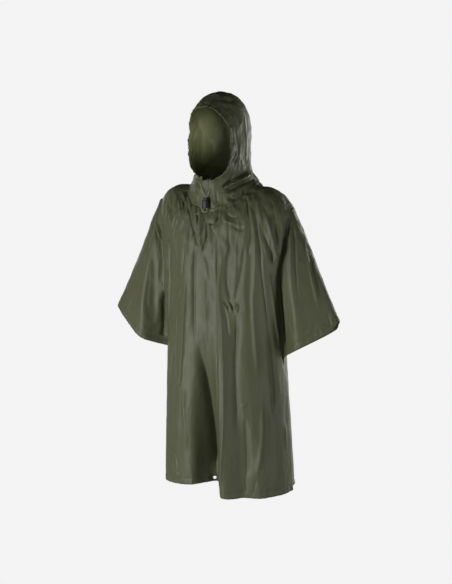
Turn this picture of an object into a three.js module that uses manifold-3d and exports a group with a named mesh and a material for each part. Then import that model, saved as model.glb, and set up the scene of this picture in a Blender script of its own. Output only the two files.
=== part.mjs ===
import * as THREE from 'three';
import { mergeVertices } from 'three/addons/utils/BufferGeometryUtils.js';
import Module from 'manifold-3d';

const wasm = await Module();
wasm.setup();

// Rain poncho as worn with nobody in it: millimetres, Z up, front toward -Y,
// wearer's left toward +X. The origin is the middle of the neck at shoulder level.
// Every cloth piece is one wall bent over a table of sections, with folds added
// along the outward direction, and neighbours stop a seam gap short of each other.

const WALL = 1.6;
const SEAM = 0.24;
const NECK_X = 120;
const NECK_Y = 119;
const HOLE = 10;
const EYELET = 17;
const CORD = 3;
const EYELET_THICK = 1.2;
const CHANNEL_HALF = 5;
const CHANNEL_THICK = 4;

const FRONT_NECK = 28;
const BACK_NECK = 20;
const SHOULDER = 11;
const YOKE_ROWS = 4;
const UNDERARM_ROW = 11;
const SLEEVE_COLS = 20;

function table(names, rows) {
  return { names, rows };
}

// A named column of a table at x, along its first column, without overshoot.
function read(tab, name, x) {
  const c = tab.names.indexOf(name);
  const r = tab.rows;
  const last = r.length - 1;
  if (x <= r[0][0]) return r[0][c];
  if (x >= r[last][0]) return r[last][c];
  let i = 0;
  while (x > r[i + 1][0]) i += 1;
  const h = r[i + 1][0] - r[i][0];
  const slope = (k) => (r[k + 1][c] - r[k][c]) / (r[k + 1][0] - r[k][0]);
  const tangent = (k) => {
    if (k === 0) return slope(0);
    if (k === last) return slope(last - 1);
    const a = slope(k - 1);
    const b = slope(k);
    if (a * b <= 0) return 0;
    return (2 * a * b) / (a + b);
  };
  const f = (x - r[i][0]) / h;
  const f2 = f * f;
  const f3 = f2 * f;
  return (2 * f3 - 3 * f2 + 1) * r[i][c] + (f3 - 2 * f2 + f) * h * tangent(i)
    + (3 * f2 - 2 * f3) * r[i + 1][c] + (f3 - f2) * h * tangent(i + 1);
}

function ease(a, b, x) {
  const f = Math.min(1, Math.max(0, (x - a) / (b - a)));
  return f * f * (3 - 2 * f);
}

function mix(a, b, f) {
  return a + (b - a) * f;
}

// Sections of the body, by depth under the neck: reach to the front and back of
// the middle line, the seam lines at the wearer's left and right, and how far
// round the side each half section has turned where it meets its seam.
const BODY = table(
  ['depth', 'front', 'back', 'leftX', 'rightX', 'frontSeam', 'backSeam', 'turn'],
  [
    [190, 143, 126, 259, 216, -50, 60, 74],
    [250, 146, 130, 248, 206, -56, 70, 74],
    [330, 149, 136, 238, 201, -56, 72, 75],
    [430, 150, 142, 238, 203, -42, 56, 78],
    [520, 151, 148, 231, 205, -20, 36, 84],
    [600, 151, 154, 223, 208, 2, 14, 90],
    [720, 151, 168, 229, 212, 9, 11, 90],
    [880, 151, 190, 239, 219, 12, 14, 90],
    [1070, 151, 222, 249, 228, 15, 17, 90],
  ],
);

// The seam where the hood meets the body, by angle from the middle of the front.
const NECK = table(
  ['angle', 'height'],
  [[0, -84], [22, -73], [37, -58], [53, -43], [67, -27], [90, 6], [115, 12], [180, 10]],
);

// The shoulder seam, from the neck out to the top of the armhole.
const SHOULDER_LINE = table(
  ['along', 'leftX', 'leftZ', 'rightX', 'rightZ', 'y'],
  [
    [0, 120, 6, -120, 6, 0],
    [0.2, 150, 8, -149, 12, 2],
    [0.45, 184, 0, -182, 5, 4],
    [0.75, 222, -24, -220, -17, 6],
    [1, 250, -58, -248, -50, 8],
  ],
);

// The armhole seam between its top and the first full section.
const ARMHOLE = table(
  ['along', 'leftX', 'rightX', 'frontY', 'backY'],
  [[0, 250, 248, 8, 8], [0.35, 261, 240, -26, 36], [0.7, 263, 227, -44, 54], [1, 259, 216, -50, 60]],
);

// Depth of each row of the body panels under the yoke, and how the front and
// back hems hang: part of the way round, and depth of the hem there.
const ROWS = [190, 228, 270, 316, 368, 428, 504, 590, 650, 715, 785, 855, 925, 992];
const FRONT_HEM = table(
  ['across', 'depth'],
  [
    [-1, 1058], [-0.85, 1062], [-0.6, 1058], [-0.3, 1046], [-0.1, 1034], [0.06, 1030],
    [0.15, 1060], [0.3, 1066], [0.7, 1066], [1, 1066],
  ],
);
const BACK_HEM = table(
  ['across', 'depth'],
  [[-1, 1070], [-0.5, 1078], [0, 1082], [0.5, 1074], [1, 1052]],
);

// Folds of the front, as they lie across it (-100 wearer's right seam, 100 left
// seam) at the top and bottom of the fold: depths where it starts, is fullest
// and ends, half width across, height out (minus goes in).
const FRONT_FOLDS = table(
  ['top', 'bottom', 'start', 'full', 'end', 'width', 'height'],
  [
    [-86, -84, 60, 170, 420, 7, 7],
    [-72, -70, 40, 150, 520, 6, -7],
    [-58, -60, 20, 160, 620, 7, 7],
    [-45, -52, 20, 140, 800, 6, -6],
    [-34, -30, 20, 130, 330, 5, 6],
    [-26, -26, 20, 120, 260, 4, -6],
    [-19, -38, 20, 300, 1100, 11, 12],
    [-10, -11, 60, 380, 700, 6, -12],
    [-5, -4, 420, 1000, 1400, 12, -46],
    [0, 0, 110, 190, 280, 3, 8],
    [7, 5, 110, 200, 420, 4, -6],
    [13, 14, 60, 300, 1100, 4, 8],
    [17, 17, 420, 1040, 1400, 7, 30],
    [22, 20, 60, 320, 560, 4, -9],
    [29, 27, 60, 290, 620, 4, 9],
    [36, 32, 40, 330, 900, 5, -10],
    [44, 47, 40, 260, 1100, 8, 11],
    [55, 66, 30, 300, 1000, 6, -10],
    [64, 78, 30, 260, 1100, 8, 9],
    [76, 88, 40, 240, 700, 6, -8],
    [87, 92, 60, 220, 600, 6, 6],
    [33, 38, 640, 1040, 1400, 7, -10],
    [25, 26, 700, 1040, 1400, 6, 6],
    [60, 58, 700, 1040, 1400, 9, 9],
  ],
);

const BACK_FOLDS = table(
  ['top', 'bottom', 'start', 'full', 'end', 'width', 'height'],
  [
    [-84, -86, 60, 420, 1000, 9, 8],
    [-68, -72, 40, 500, 1300, 8, -10],
    [-52, -55, 30, 520, 1400, 9, 12],
    [-38, -38, 30, 460, 1400, 7, -12],
    [-24, -22, 30, 600, 1400, 9, 14],
    [-10, -8, 60, 520, 1400, 7, -12],
    [4, 6, 30, 460, 1400, 8, 12],
    [18, 20, 40, 600, 1400, 8, -13],
    [32, 36, 30, 560, 1400, 9, 13],
    [47, 52, 30, 500, 1400, 7, -11],
    [62, 68, 40, 560, 1400, 9, 12],
    [78, 84, 60, 460, 1100, 8, -8],
    [8, 8, 760, 1060, 1500, 16, 10],
    [-46, -46, 760, 1060, 1500, 14, 9],
  ],
);

// Outer edge of each sleeve from the top of the armhole to the cuff, with the
// half thickness of the sleeve there and how much it swells beside the seam.
const SLEEVE = table(
  ['along', 'leftX', 'leftZ', 'rightX', 'rightZ', 'y', 'half', 'swell'],
  [
    [0, 250, -58, -248, -50, 8, 4, 0],
    [0.08, 262, -82, -262, -82, 6, 20, 2],
    [0.2, 282, -128, -283, -126, 4, 38, 10],
    [0.35, 313, -190, -303, -178, 0, 50, 20],
    [0.55, 351, -270, -339, -260, -4, 56, 24],
    [0.78, 397, -368, -385, -358, -8, 56, 22],
    [1, 435, -446, -430, -444, -10, 52, 16],
  ],
);

// Folds of the front of each sleeve: place between seam (0) and outer edge
// (100), rows where it starts and ends, half width, height.
const SLEEVE_FOLDS = table(
  ['side', 'top', 'bottom', 'start', 'full', 'end', 'width', 'height'],
  [
    [1, 14, 10, 0.1, 0.5, 1.1, 10, 8],
    [1, 30, 26, 0.15, 0.6, 1.2, 9, -9],
    [1, 48, 46, 0.2, 0.7, 1.3, 11, 8],
    [1, 66, 66, 0.2, 0.6, 1.2, 9, -6],
    [-1, 16, 12, 0.1, 0.4, 0.8, 9, 8],
    [-1, 36, 20, 0.2, 0.75, 1.3, 12, -22],
    [-1, 52, 48, 0.15, 0.6, 1.3, 11, 10],
    [-1, 74, 72, 0.2, 0.6, 1.2, 10, -6],
  ],
);

// Hood sections from the neck seam to the crown, wearer's left half: front edge,
// widest point, back seam. The front edge runs up the throat, then round the face.
const HOOD = table(
  ['along', 'edgeX', 'edgeY', 'edgeZ', 'sideX', 'sideY', 'sideZ', 'backY', 'backZ'],
  [
    [0, 0, -119, -84, 120, 0, 6, 119, 10],
    [0.06, 0, -117, -52, 113, 1, 19, 105, 22],
    [0.12, 0, -115, -18, 105, 3, 33, 92, 34],
    [0.17, 0, -113, 14, 99, 5, 45, 84, 45],
    [0.22, 28, -111, 19, 95, 6, 57, 80, 55],
    [0.28, 48, -107, 30, 93, 6, 71, 78, 67],
    [0.35, 65, -103, 48, 93, 5, 89, 78, 81],
    [0.43, 76, -99, 75, 94, 3, 110, 79, 96],
    [0.52, 82, -96, 108, 95, 1, 136, 80, 112],
    [0.61, 83, -96, 146, 96, -2, 165, 81, 128],
    [0.70, 79, -100, 184, 96, -6, 199, 82, 143],
    [0.78, 70, -106, 214, 92, -11, 231, 82, 156],
    [0.85, 55, -113, 238, 82, -17, 261, 82, 168],
    [0.91, 37, -118, 253, 64, -22, 287, 82, 178],
    [0.96, 18, -121, 262, 40, -25, 305, 82, 186],
    [1, 0, -122, 266, 0, -26, 315, 82, 192],
  ],
);
const FACE_ROW = 3;

function neckPoint(angle) {
  const a = THREE.MathUtils.degToRad(angle);
  const z = read(NECK, 'height', Math.abs(angle));
  return new THREE.Vector3(NECK_X * Math.sin(a), -NECK_Y * Math.cos(a), z);
}

function shoulderPoint(side, f) {
  const x = read(SHOULDER_LINE, side > 0 ? 'leftX' : 'rightX', f);
  const z = read(SHOULDER_LINE, side > 0 ? 'leftZ' : 'rightZ', f);
  return new THREE.Vector3(x, read(SHOULDER_LINE, 'y', f), z);
}

// One section of the body at a depth: across runs from -1 to 1 between seams.
function bodyPoint(face, depth, across) {
  const side = across < 0 ? -1 : 1;
  const seamX = read(BODY, side > 0 ? 'leftX' : 'rightX', depth);
  const seamY = read(BODY, face < 0 ? 'frontSeam' : 'backSeam', depth);
  const reach = face * read(BODY, face < 0 ? 'front' : 'back', depth);
  const turn = THREE.MathUtils.degToRad(read(BODY, 'turn', depth));
  const a = Math.abs(across) * turn;
  const x = side * seamX * Math.sin(a) / Math.sin(turn);
  const y = reach + (seamY - reach) * (1 - Math.cos(a)) / (1 - Math.cos(turn));
  return new THREE.Vector3(x, y, -depth);
}

function foldHeight(tab, across, depth) {
  let sum = 0;
  for (let k = 0; k < tab.rows.length; k += 1) {
    const [top, bottom, start, full, end, width, height] = tab.rows[k];
    if (depth > start && depth < end) {
      const f = Math.min(1, (depth - start) / (Math.min(end, 1040) - start));
      const place = mix(top, bottom, f);
      const spread = (across - place) / width;
      const rise = ease(start, full, depth) * (1 - ease(full, end, depth));
      sum += height * rise * Math.exp(-spread * spread);
    }
  }
  return sum;
}

// Columns of a body panel: its share of the neck seam, and the rest on the
// shoulder seams, evenly spaced across.
function panelColumns(neckCount) {
  const all = [];
  for (let i = 0; i <= SHOULDER - 1; i += 1) all.push(-1 + 0.48 * i / SHOULDER);
  for (let i = 0; i <= neckCount; i += 1) all.push(-0.52 + 1.04 * i / neckCount);
  for (let i = 1; i <= SHOULDER; i += 1) all.push(0.52 + 0.48 * i / SHOULDER);
  return all;
}

function topPoint(face, across) {
  const a = Math.abs(across);
  if (a > 0.52) return shoulderPoint(Math.sign(across), (a - 0.52) / 0.48);
  const angle = face < 0 ? 90 * across / 0.52 : 180 - 90 * across / 0.52;
  return neckPoint(angle > 180 ? angle - 360 : angle);
}

function armholePoint(face, side, f) {
  const x = side * read(ARMHOLE, side > 0 ? 'leftX' : 'rightX', f);
  const y = read(ARMHOLE, face < 0 ? 'frontY' : 'backY', f);
  return new THREE.Vector3(x, y, mix(side > 0 ? -58 : -50, -ROWS[0], f));
}

// Cloth from the neck and shoulder seams down to the first full section.
function yokePoint(face, across, f) {
  const top = topPoint(face, across);
  const low = bodyPoint(face, ROWS[0], across);
  const flat = new THREE.Vector3(low.x - top.x, low.y - top.y, 0);
  const run = flat.length();
  const fall = top.z - low.z;
  const a = Math.abs(across);
  const lead = face < 0 ? 0.5 : 0.35;
  const p1 = top.clone().addScaledVector(flat, 0.62);
  p1.y += face * (8 + 12 * a);
  p1.z -= 0.1 * run + lead * 0.42 * fall * (1 - ease(0.2, 0.75, a));
  const p2 = low.clone();
  p2.z += 0.42 * fall;
  p2.y -= face * 3;
  const g = 1 - f;
  const p = top.clone().multiplyScalar(g * g * g);
  p.addScaledVector(p1, 3 * g * g * f);
  p.addScaledVector(p2, 3 * g * f * f);
  p.addScaledVector(low, f * f * f);
  const hold = ease(0.86, 1, a);
  if (hold > 0) p.lerp(armholePoint(face, Math.sign(across), f), hold);
  return p;
}

function panelRow(face, across, j) {
  if (j < YOKE_ROWS) {
    const f = j / YOKE_ROWS;
    const p = yokePoint(face, across, f);
    return { p, depth: Math.max(15, 190 * f) };
  }
  const k = j - YOKE_ROWS;
  const hem = read(face < 0 ? FRONT_HEM : BACK_HEM, 'depth', across);
  if (k >= ROWS.length) return { p: bodyPoint(face, hem, across), depth: hem };
  const depth = ROWS[k];
  return { p: bodyPoint(face, depth, across), depth };
}

// Grids of points. A grid is a list of rows; each row runs across the piece.
function panelGrid(face, columns) {
  const folds = face < 0 ? FRONT_FOLDS : BACK_FOLDS;
  const grid = [];
  for (let j = 0; j <= YOKE_ROWS + ROWS.length; j += 1) {
    const row = [];
    for (const across of columns) {
      const { p, depth } = panelRow(face, across, j);
      const edge = 1 - ease(0.9, 1, Math.abs(across));
      const high = j === 0 ? 0 : foldHeight(folds, 100 * across, depth) * edge;
      const out = new THREE.Vector3(p.x * 0.45, p.y - 20 * face, 0).normalize();
      if (j < YOKE_ROWS) out.z = 0.6 * (1 - j / YOKE_ROWS);
      out.normalize();
      row.push(p.clone().addScaledVector(out, high));
    }
    grid.push(row);
  }
  return grid;
}

// How far the cuff hangs below a straight line from seam (0) to outer edge (1).
const CUFF = table(
  ['place', 'left', 'right'],
  [[0, 0, 0], [0.25, 5, 14], [0.5, 12, 20], [0.75, 18, 10], [0.9, 20, 4], [1, 0, 0]],
);

function sleeveFold(side, place, along) {
  let sum = 0;
  for (const [s, top, bottom, start, full, end, width, height] of SLEEVE_FOLDS.rows) {
    if (s === side && along > start && along < end) {
      const spread = (place - mix(top, bottom, along)) / width;
      const rise = ease(start, full, along) * (1 - ease(full, end, along));
      sum += height * rise * Math.exp(-spread * spread);
    }
  }
  return sum;
}

// A sleeve is a fan of U sections from the top of the armhole to the cuff. The
// ends of each section are the points of the front and back panels beside it.
function sleeveGrid(side, frontSeam, backSeam) {
  const grid = [];
  for (let j = 0; j <= UNDERARM_ROW; j += 1) {
    const depth = j < YOKE_ROWS ? mix(55, 190, j / YOKE_ROWS) : ROWS[j - YOKE_ROWS];
    const along = (depth - 55) / (ROWS[UNDERARM_ROW - YOKE_ROWS] - 55);
    const edge = new THREE.Vector3(
      read(SLEEVE, side > 0 ? 'leftX' : 'rightX', along),
      read(SLEEVE, 'y', along),
      read(SLEEVE, side > 0 ? 'leftZ' : 'rightZ', along),
    );
    const half = read(SLEEVE, 'half', along);
    const swell = read(SLEEVE, 'swell', along);
    const row = [];
    for (let i = 0; i <= SLEEVE_COLS; i += 1) {
      const s = 2 * i / SLEEVE_COLS - 1;
      const seam = s < 0 ? frontSeam[j] : backSeam[j];
      const face = s < 0 ? -1 : 1;
      const a = Math.abs(s) * Math.PI / 2;
      const q = Math.cos(a);
      const point = edge.clone().lerp(seam, 1 - q);
      const thick = half + swell * Math.sin(a) * Math.sin(a);
      const seamY = seam.y - edge.y;
      const keep = ease(0.72, 1, Math.abs(s));
      point.y = edge.y + mix(face * thick * Math.sin(a) ** 0.85, seamY, keep);
      if (Math.abs(s) < 1 && j > 0) {
        const high = sleeveFold(side * (s < 0 ? 1 : 2), 100 * q, along);
        point.y += face * high * (1 - keep);
      }
      point.z -= read(CUFF, side > 0 ? 'left' : 'right', q) * ease(0.55, 1, along);
      if (j === 0) point.copy(seam);
      row.push(point);
    }
    grid.push(row);
  }
  return grid;
}

function hoodPoint(side, along, a) {
  const g = (name) => read(HOOD, name, along);
  const front = a < 90;
  const t = THREE.MathUtils.degToRad(front ? a : a - 90);
  const sin = Math.sin(t);
  const cos = Math.cos(t);
  if (front) {
    const back = mix(1 - cos, a / 90, ease(0.14, 0.32, along));
    const rise = mix(1 - cos, sin, ease(0.3, 0.8, along));
    return new THREE.Vector3(
      side * mix(g('edgeX'), g('sideX'), sin),
      mix(g('edgeY'), g('sideY'), back),
      mix(g('edgeZ'), g('sideZ'), rise),
    );
  }
  return new THREE.Vector3(
    side * g('sideX') * cos,
    mix(g('sideY'), g('backY'), sin),
    mix(g('backZ'), g('sideZ'), cos),
  );
}

// Half of the hood: each row from the front edge round the side to the back seam.
function hoodGrid(side) {
  const half = FRONT_NECK / 2;
  const rear = BACK_NECK / 2;
  const angles = [];
  for (let i = 0; i <= half; i += 1) angles.push(90 * i / half);
  for (let i = 1; i <= rear; i += 1) angles.push(90 + 90 * i / rear);
  const grid = [];
  for (const [along] of HOOD.rows) {
    const away = 1 - ease(0, 0.24, along);
    const row = angles.map((a) => {
      const p = hoodPoint(side, along, a);
      const seam = neckPoint(side * a);
      const plain = hoodPoint(side, 0, a);
      p.addScaledVector(seam.sub(plain), away);
      return p;
    });
    grid.push(row);
  }
  return grid;
}

// Turns grids into walls. Points where pieces meet share one inward direction,
// set so that both walls keep their thickness, and each piece stops short.
const pieces = [];

function addPiece(name, grid, turned, look, sides, extra) {
  pieces.push({ name, grid, turned, look, sides, ...extra });
}

function keyOf(p) {
  return `${Math.round(p.x * 50)},${Math.round(p.y * 50)},${Math.round(p.z * 50)}`;
}

function gridNormal(grid, j, i, turned) {
  const rows = grid.length - 1;
  const cols = grid[0].length - 1;
  const p = grid[j][i];
  const sum = new THREE.Vector3();
  const at = (dj, di) => {
    const jj = j + dj;
    const ii = i + di;
    if (jj < 0 || jj > rows || ii < 0 || ii > cols) return null;
    return new THREE.Vector3().subVectors(grid[jj][ii], p);
  };
  const around = [[0, 1], [1, 0], [0, -1], [-1, 0]];
  for (let k = 0; k < 4; k += 1) {
    const u = at(...around[k]);
    const v = at(...around[(k + 1) % 4]);
    if (u && v && u.length() > 1e-6 && v.length() > 1e-6) {
      const n = new THREE.Vector3().crossVectors(u, v);
      const size = n.length();
      if (size > 1e-9) sum.addScaledVector(n, u.angleTo(v) / size);
    }
  }
  if (sum.length() < 1e-6) return null;
  return sum.normalize().multiplyScalar(turned ? -1 : 1);
}

// The vector m for which m.n = 1 for every wall that meets here.
function mitre(normals) {
  const mean = new THREE.Vector3();
  for (const n of normals) mean.add(n);
  mean.normalize();
  const k = 0.03;
  const m = new THREE.Matrix3().set(k, 0, 0, 0, k, 0, 0, 0, k);
  const e = m.elements;
  const r = mean.clone().multiplyScalar(k);
  for (const n of normals) {
    const v = [n.x, n.y, n.z];
    for (let a = 0; a < 3; a += 1) {
      for (let b = 0; b < 3; b += 1) e[a + 3 * b] += v[a] * v[b];
    }
    r.add(n);
  }
  const out = r.applyMatrix3(m.invert());
  if (out.length() > 2.2) out.setLength(2.2);
  return out;
}

function wallMesh(piece, shared) {
  const { name, grid, turned, look, sides } = piece;
  const rows = grid.length - 1;
  const cols = grid[0].length - 1;
  const outer = [];
  const inner = [];
  for (let j = 0; j <= rows; j += 1) {
    outer.push([]);
    inner.push([]);
    for (let i = 0; i <= cols; i += 1) {
      const p = grid[j][i];
      const m = mitre(shared.get(keyOf(p)));
      const shift = new THREE.Vector3();
      const pull = (on, dj, di) => {
        if (!on) return;
        const d = new THREE.Vector3();
        if (grid[j + dj] && grid[j + dj][i + di]) d.subVectors(grid[j + dj][i + di], p);
        if (d.length() < 1e-6) return;
        const along = dj === 0
          ? new THREE.Vector3().subVectors(grid[Math.min(rows, j + 1)][i], grid[Math.max(0, j - 1)][i])
          : new THREE.Vector3().subVectors(grid[j][Math.min(cols, i + 1)], grid[j][Math.max(0, i - 1)]);
        if (along.length() > 1e-6) {
          along.normalize();
          d.addScaledVector(along, -d.dot(along));
        }
        if (d.length() > 1e-6) shift.addScaledVector(d.normalize(), SEAM);
      };
      pull(sides.left && i === 0, 0, 1);
      pull(sides.right && i === cols, 0, -1);
      pull(sides.top && j === 0, 1, 0);
      pull(sides.bottom && j === rows, -1, 0);
      if (sides.apex && j === 0) {
        const mid = grid[1][Math.round(cols / 2)];
        shift.subVectors(mid, p).setLength(SEAM * 3);
      }
      outer[j].push(p.clone().add(shift));
      inner[j].push(p.clone().addScaledVector(m, -WALL).add(shift));
    }
  }
  const flat = [];
  const face = (a, b, c) => {
    const list = turned ? [a, c, b] : [a, b, c];
    for (const q of list) flat.push(q.x, q.y, q.z);
  };
  const quad = (a, b, c, d) => {
    if (a.distanceToSquared(c) <= b.distanceToSquared(d)) {
      face(a, b, c);
      face(a, c, d);
    } else {
      face(a, b, d);
      face(b, c, d);
    }
  };
  for (let j = 0; j < rows; j += 1) {
    for (let i = 0; i < cols; i += 1) {
      if (piece.hole && piece.hole(j, i)) continue;
      quad(outer[j][i], outer[j][i + 1], outer[j + 1][i + 1], outer[j + 1][i]);
      quad(inner[j][i], inner[j + 1][i], inner[j + 1][i + 1], inner[j][i + 1]);
    }
  }
  for (let i = 0; i < cols; i += 1) {
    quad(outer[0][i], inner[0][i], inner[0][i + 1], outer[0][i + 1]);
    quad(outer[rows][i], outer[rows][i + 1], inner[rows][i + 1], inner[rows][i]);
  }
  for (let j = 0; j < rows; j += 1) {
    quad(outer[j][0], outer[j + 1][0], inner[j + 1][0], inner[j][0]);
    quad(outer[j][cols], inner[j][cols], inner[j + 1][cols], outer[j + 1][cols]);
  }
  if (piece.ring) piece.ring(outer, inner, face);
  let geometry = new THREE.BufferGeometry();
  geometry.setAttribute('position', new THREE.Float32BufferAttribute(flat, 3));
  geometry = dropFlat(mergeVertices(geometry, 1e-4));
  geometry.computeVertexNormals();
  return named(name, geometry, look);
}

function dropFlat(geometry) {
  const index = geometry.getIndex().array;
  const kept = [];
  for (let k = 0; k < index.length; k += 3) {
    const [a, b, c] = [index[k], index[k + 1], index[k + 2]];
    if (a !== b && b !== c && a !== c) kept.push(a, b, c);
  }
  geometry.setIndex(kept);
  return geometry;
}

function named(name, geometry, look) {
  const material = new THREE.MeshStandardMaterial(look);
  const mesh = new THREE.Mesh(geometry, material);
  mesh.name = name;
  return mesh;
}

const CLOTH = { color: 0x4d4f40, roughness: 0.5, metalness: 0 };
const TRIM = { color: 0x595b49, roughness: 0.5, metalness: 0 };
const PLASTIC = { color: 0x24262d, roughness: 0.45, metalness: 0 };
const METAL = { color: 0x3a3b33, roughness: 0.35, metalness: 1 };

const frontColumns = panelColumns(FRONT_NECK);
const backColumns = panelColumns(BACK_NECK);
const front = panelGrid(-1, frontColumns);
const back = panelGrid(1, backColumns);

const frontLast = front[0].length - 1;
const backLast = back[0].length - 1;
const leftSleeve = sleeveGrid(1, front.map((r) => r[frontLast]), back.map((r) => r[backLast]));
const rightSleeve = sleeveGrid(-1, front.map((r) => r[0]), back.map((r) => r[0]));
const leftHood = hoodGrid(1);
const rightHood = hoodGrid(-1);

// The eyelet hole near the front hem takes the place of two cells of the grid.
const holeRow = YOKE_ROWS + ROWS.length - 1;
const holeCol = Math.round(frontLast / 2);

for (const row of [front[holeRow], front[holeRow + 1]]) {
  row[holeCol].copy(row[holeCol - 1]).lerp(row[holeCol + 1], 0.5);
}

function inHole(j, i) {
  return j === holeRow && (i === holeCol - 1 || i === holeCol);
}

function roundTheHole(grid) {
  const top = grid[holeRow];
  const low = grid[holeRow + 1];
  const c = holeCol;
  return [top[c - 1], top[c], top[c + 1], low[c + 1], low[c], low[c - 1]];
}

// Middle of the hole, with the directions across and down, and out of the cloth.
function holeFrame(grid) {
  const loop = roundTheHole(grid);
  const down = new THREE.Vector3().subVectors(loop[4], loop[1]).normalize();
  const right = new THREE.Vector3().subVectors(loop[2], loop[0]);
  right.addScaledVector(down, -right.dot(down)).normalize();
  const centre = loop[1].clone().lerp(loop[4], 0.6);
  const out = new THREE.Vector3().crossVectors(down, right);
  return { centre, right, down, out };
}

function holeRing(frame, radius, count, lift) {
  const ring = [];
  for (let k = 0; k < count; k += 1) {
    const a = -Math.PI + 2 * Math.PI * k / count;
    const p = frame.centre.clone().addScaledVector(frame.out, lift);
    p.addScaledVector(frame.right, radius * Math.cos(a));
    p.addScaledVector(frame.down, radius * Math.sin(a));
    ring.push(p);
  }
  return ring;
}

// Joins the six grid points round the hole to its rim, and lines the hole.
function cutHole(outer, inner, face) {
  const frame = holeFrame(front);
  const count = 16;
  const rims = [0, -WALL].map((lift) => holeRing(frame, HOLE / 2, count, lift));
  const turn = (p) => {
    const d = new THREE.Vector3().subVectors(p, frame.centre);
    return Math.atan2(d.dot(frame.down), d.dot(frame.right));
  };
  [outer, inner].forEach((grid, which) => {
    const rim = rims[which];
    const put = (a, b, c) => (which === 0 ? face(a, b, c) : face(a, c, b));
    const loop = roundTheHole(grid).map((p) => ({ p, a: turn(p) }));
    loop.sort((u, v) => u.a - v.a);
    let i = 0;
    let k = 0;
    while (i < loop.length || k < count) {
      const here = loop[i % loop.length].p;
      const next = loop[(i + 1) % loop.length];
      const edge = rim[k % count];
      const ahead = rim[(k + 1) % count];
      const nextTurn = i + 1 < loop.length ? next.a : next.a + 2 * Math.PI;
      const rimTurn = -Math.PI + 2 * Math.PI * (k + 1) / count;
      if (k >= count || (i < loop.length && nextTurn < rimTurn)) {
        put(here, next.p, edge);
        i += 1;
      } else {
        put(here, ahead, edge);
        k += 1;
      }
    }
  });
  for (let k = 0; k < count; k += 1) {
    const n = (k + 1) % count;
    face(rims[0][k], rims[0][n], rims[1][n]);
    face(rims[0][k], rims[1][n], rims[1][k]);
  }
}

const cut = { hole: inHole, ring: cutHole };
addPiece('front_panel', front, true, CLOTH, { left: true, right: true, top: true }, cut);
addPiece('back_panel', back, false, CLOTH, { left: true, right: true, top: true });
addPiece('sleeve_left', leftSleeve, true, CLOTH, { left: true, right: true, apex: true });
addPiece('sleeve_right', rightSleeve, false, CLOTH, { left: true, right: true, apex: true });
addPiece('hood_left', leftHood, false, CLOTH, { left: true, right: true, top: true, bottom: true });
addPiece('hood_right', rightHood, true, CLOTH, { left: true, right: true, top: true, bottom: true });

const shared = new Map();
for (const piece of pieces) {
  const { grid, turned } = piece;
  const seen = new Map();
  for (let j = 0; j < grid.length; j += 1) {
    for (let i = 0; i < grid[0].length; i += 1) {
      const n = gridNormal(grid, j, i, turned);
      const key = keyOf(grid[j][i]);
      if (!seen.has(key)) seen.set(key, new THREE.Vector3());
      if (n) seen.get(key).add(n);
    }
  }
  for (const [key, n] of seen) {
    if (!shared.has(key)) shared.set(key, []);
    if (n.length() > 1e-6) shared.get(key).push(n.normalize());
  }
}

// A closed body from rings of points: capped at the ends, or joined end to end.
function tubeMesh(name, rings, look, closed) {
  const flat = [];
  const face = (a, b, c) => {
    for (const q of [a, b, c]) flat.push(q.x, q.y, q.z);
  };
  const count = rings.length;
  const around = rings[0].length;
  const steps = closed ? count : count - 1;
  for (let k = 0; k < steps; k += 1) {
    const a = rings[k];
    const b = rings[(k + 1) % count];
    for (let i = 0; i < around; i += 1) {
      const n = (i + 1) % around;
      face(a[i], a[n], b[n]);
      face(a[i], b[n], b[i]);
    }
  }
  if (!closed) {
    const first = rings[0];
    const final = rings[count - 1];
    for (let i = 1; i < around - 1; i += 1) {
      face(first[0], first[i + 1], first[i]);
      face(final[0], final[i], final[i + 1]);
    }
  }
  let geometry = new THREE.BufferGeometry();
  geometry.setAttribute('position', new THREE.Float32BufferAttribute(flat, 3));
  geometry = dropFlat(mergeVertices(geometry, 1e-4));
  geometry.computeVertexNormals();
  return named(name, geometry, look);
}

// The channel round the face: a filled flat strip, because the cord lies in it.
function channelMesh() {
  const edge = [];
  for (let j = FACE_ROW; j < leftHood.length; j += 1) edge.push(leftHood[j][0]);
  for (let j = rightHood.length - 2; j > FACE_ROW; j -= 1) edge.push(rightHood[j][0]);
  const count = edge.length;
  const centre = new THREE.Vector3(0, -108, 140);
  const rings = [];
  for (let k = 0; k < count; k += 1) {
    const p = edge[k];
    const along = new THREE.Vector3().subVectors(edge[(k + 1) % count], edge[(k + count - 1) % count]);
    along.normalize();
    const out = mitre(shared.get(keyOf(p)));
    out.addScaledVector(along, -out.dot(along)).normalize();
    const open = new THREE.Vector3().crossVectors(along, out);
    if (open.dot(new THREE.Vector3().subVectors(centre, p)) < 0) open.negate();
    const mid = p.clone().addScaledVector(open, CHANNEL_HALF + 0.3).addScaledVector(out, -WALL / 2);
    const ring = [];
    for (let i = 0; i < 8; i += 1) {
      const a = Math.PI * (2 * i + 1) / 8;
      const c = Math.cos(a);
      const s = Math.sin(a);
      const q = mid.clone().addScaledVector(open, CHANNEL_HALF * Math.sign(c) * Math.abs(c) ** 0.8);
      ring.push(q.addScaledVector(out, CHANNEL_THICK / 2 * Math.sign(s) * Math.abs(s) ** 0.8));
    }
    rings.push(ring);
  }
  const a = new THREE.Vector3().subVectors(rings[0][1], rings[0][0]);
  const b = new THREE.Vector3().subVectors(rings[1][0], rings[0][0]);
  const outward = new THREE.Vector3().subVectors(rings[0][0], edge[0]);
  if (a.cross(b).dot(outward) < 0) rings.forEach((ring) => ring.reverse());
  return tubeMesh('hood_channel', rings, TRIM, true);
}

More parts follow.
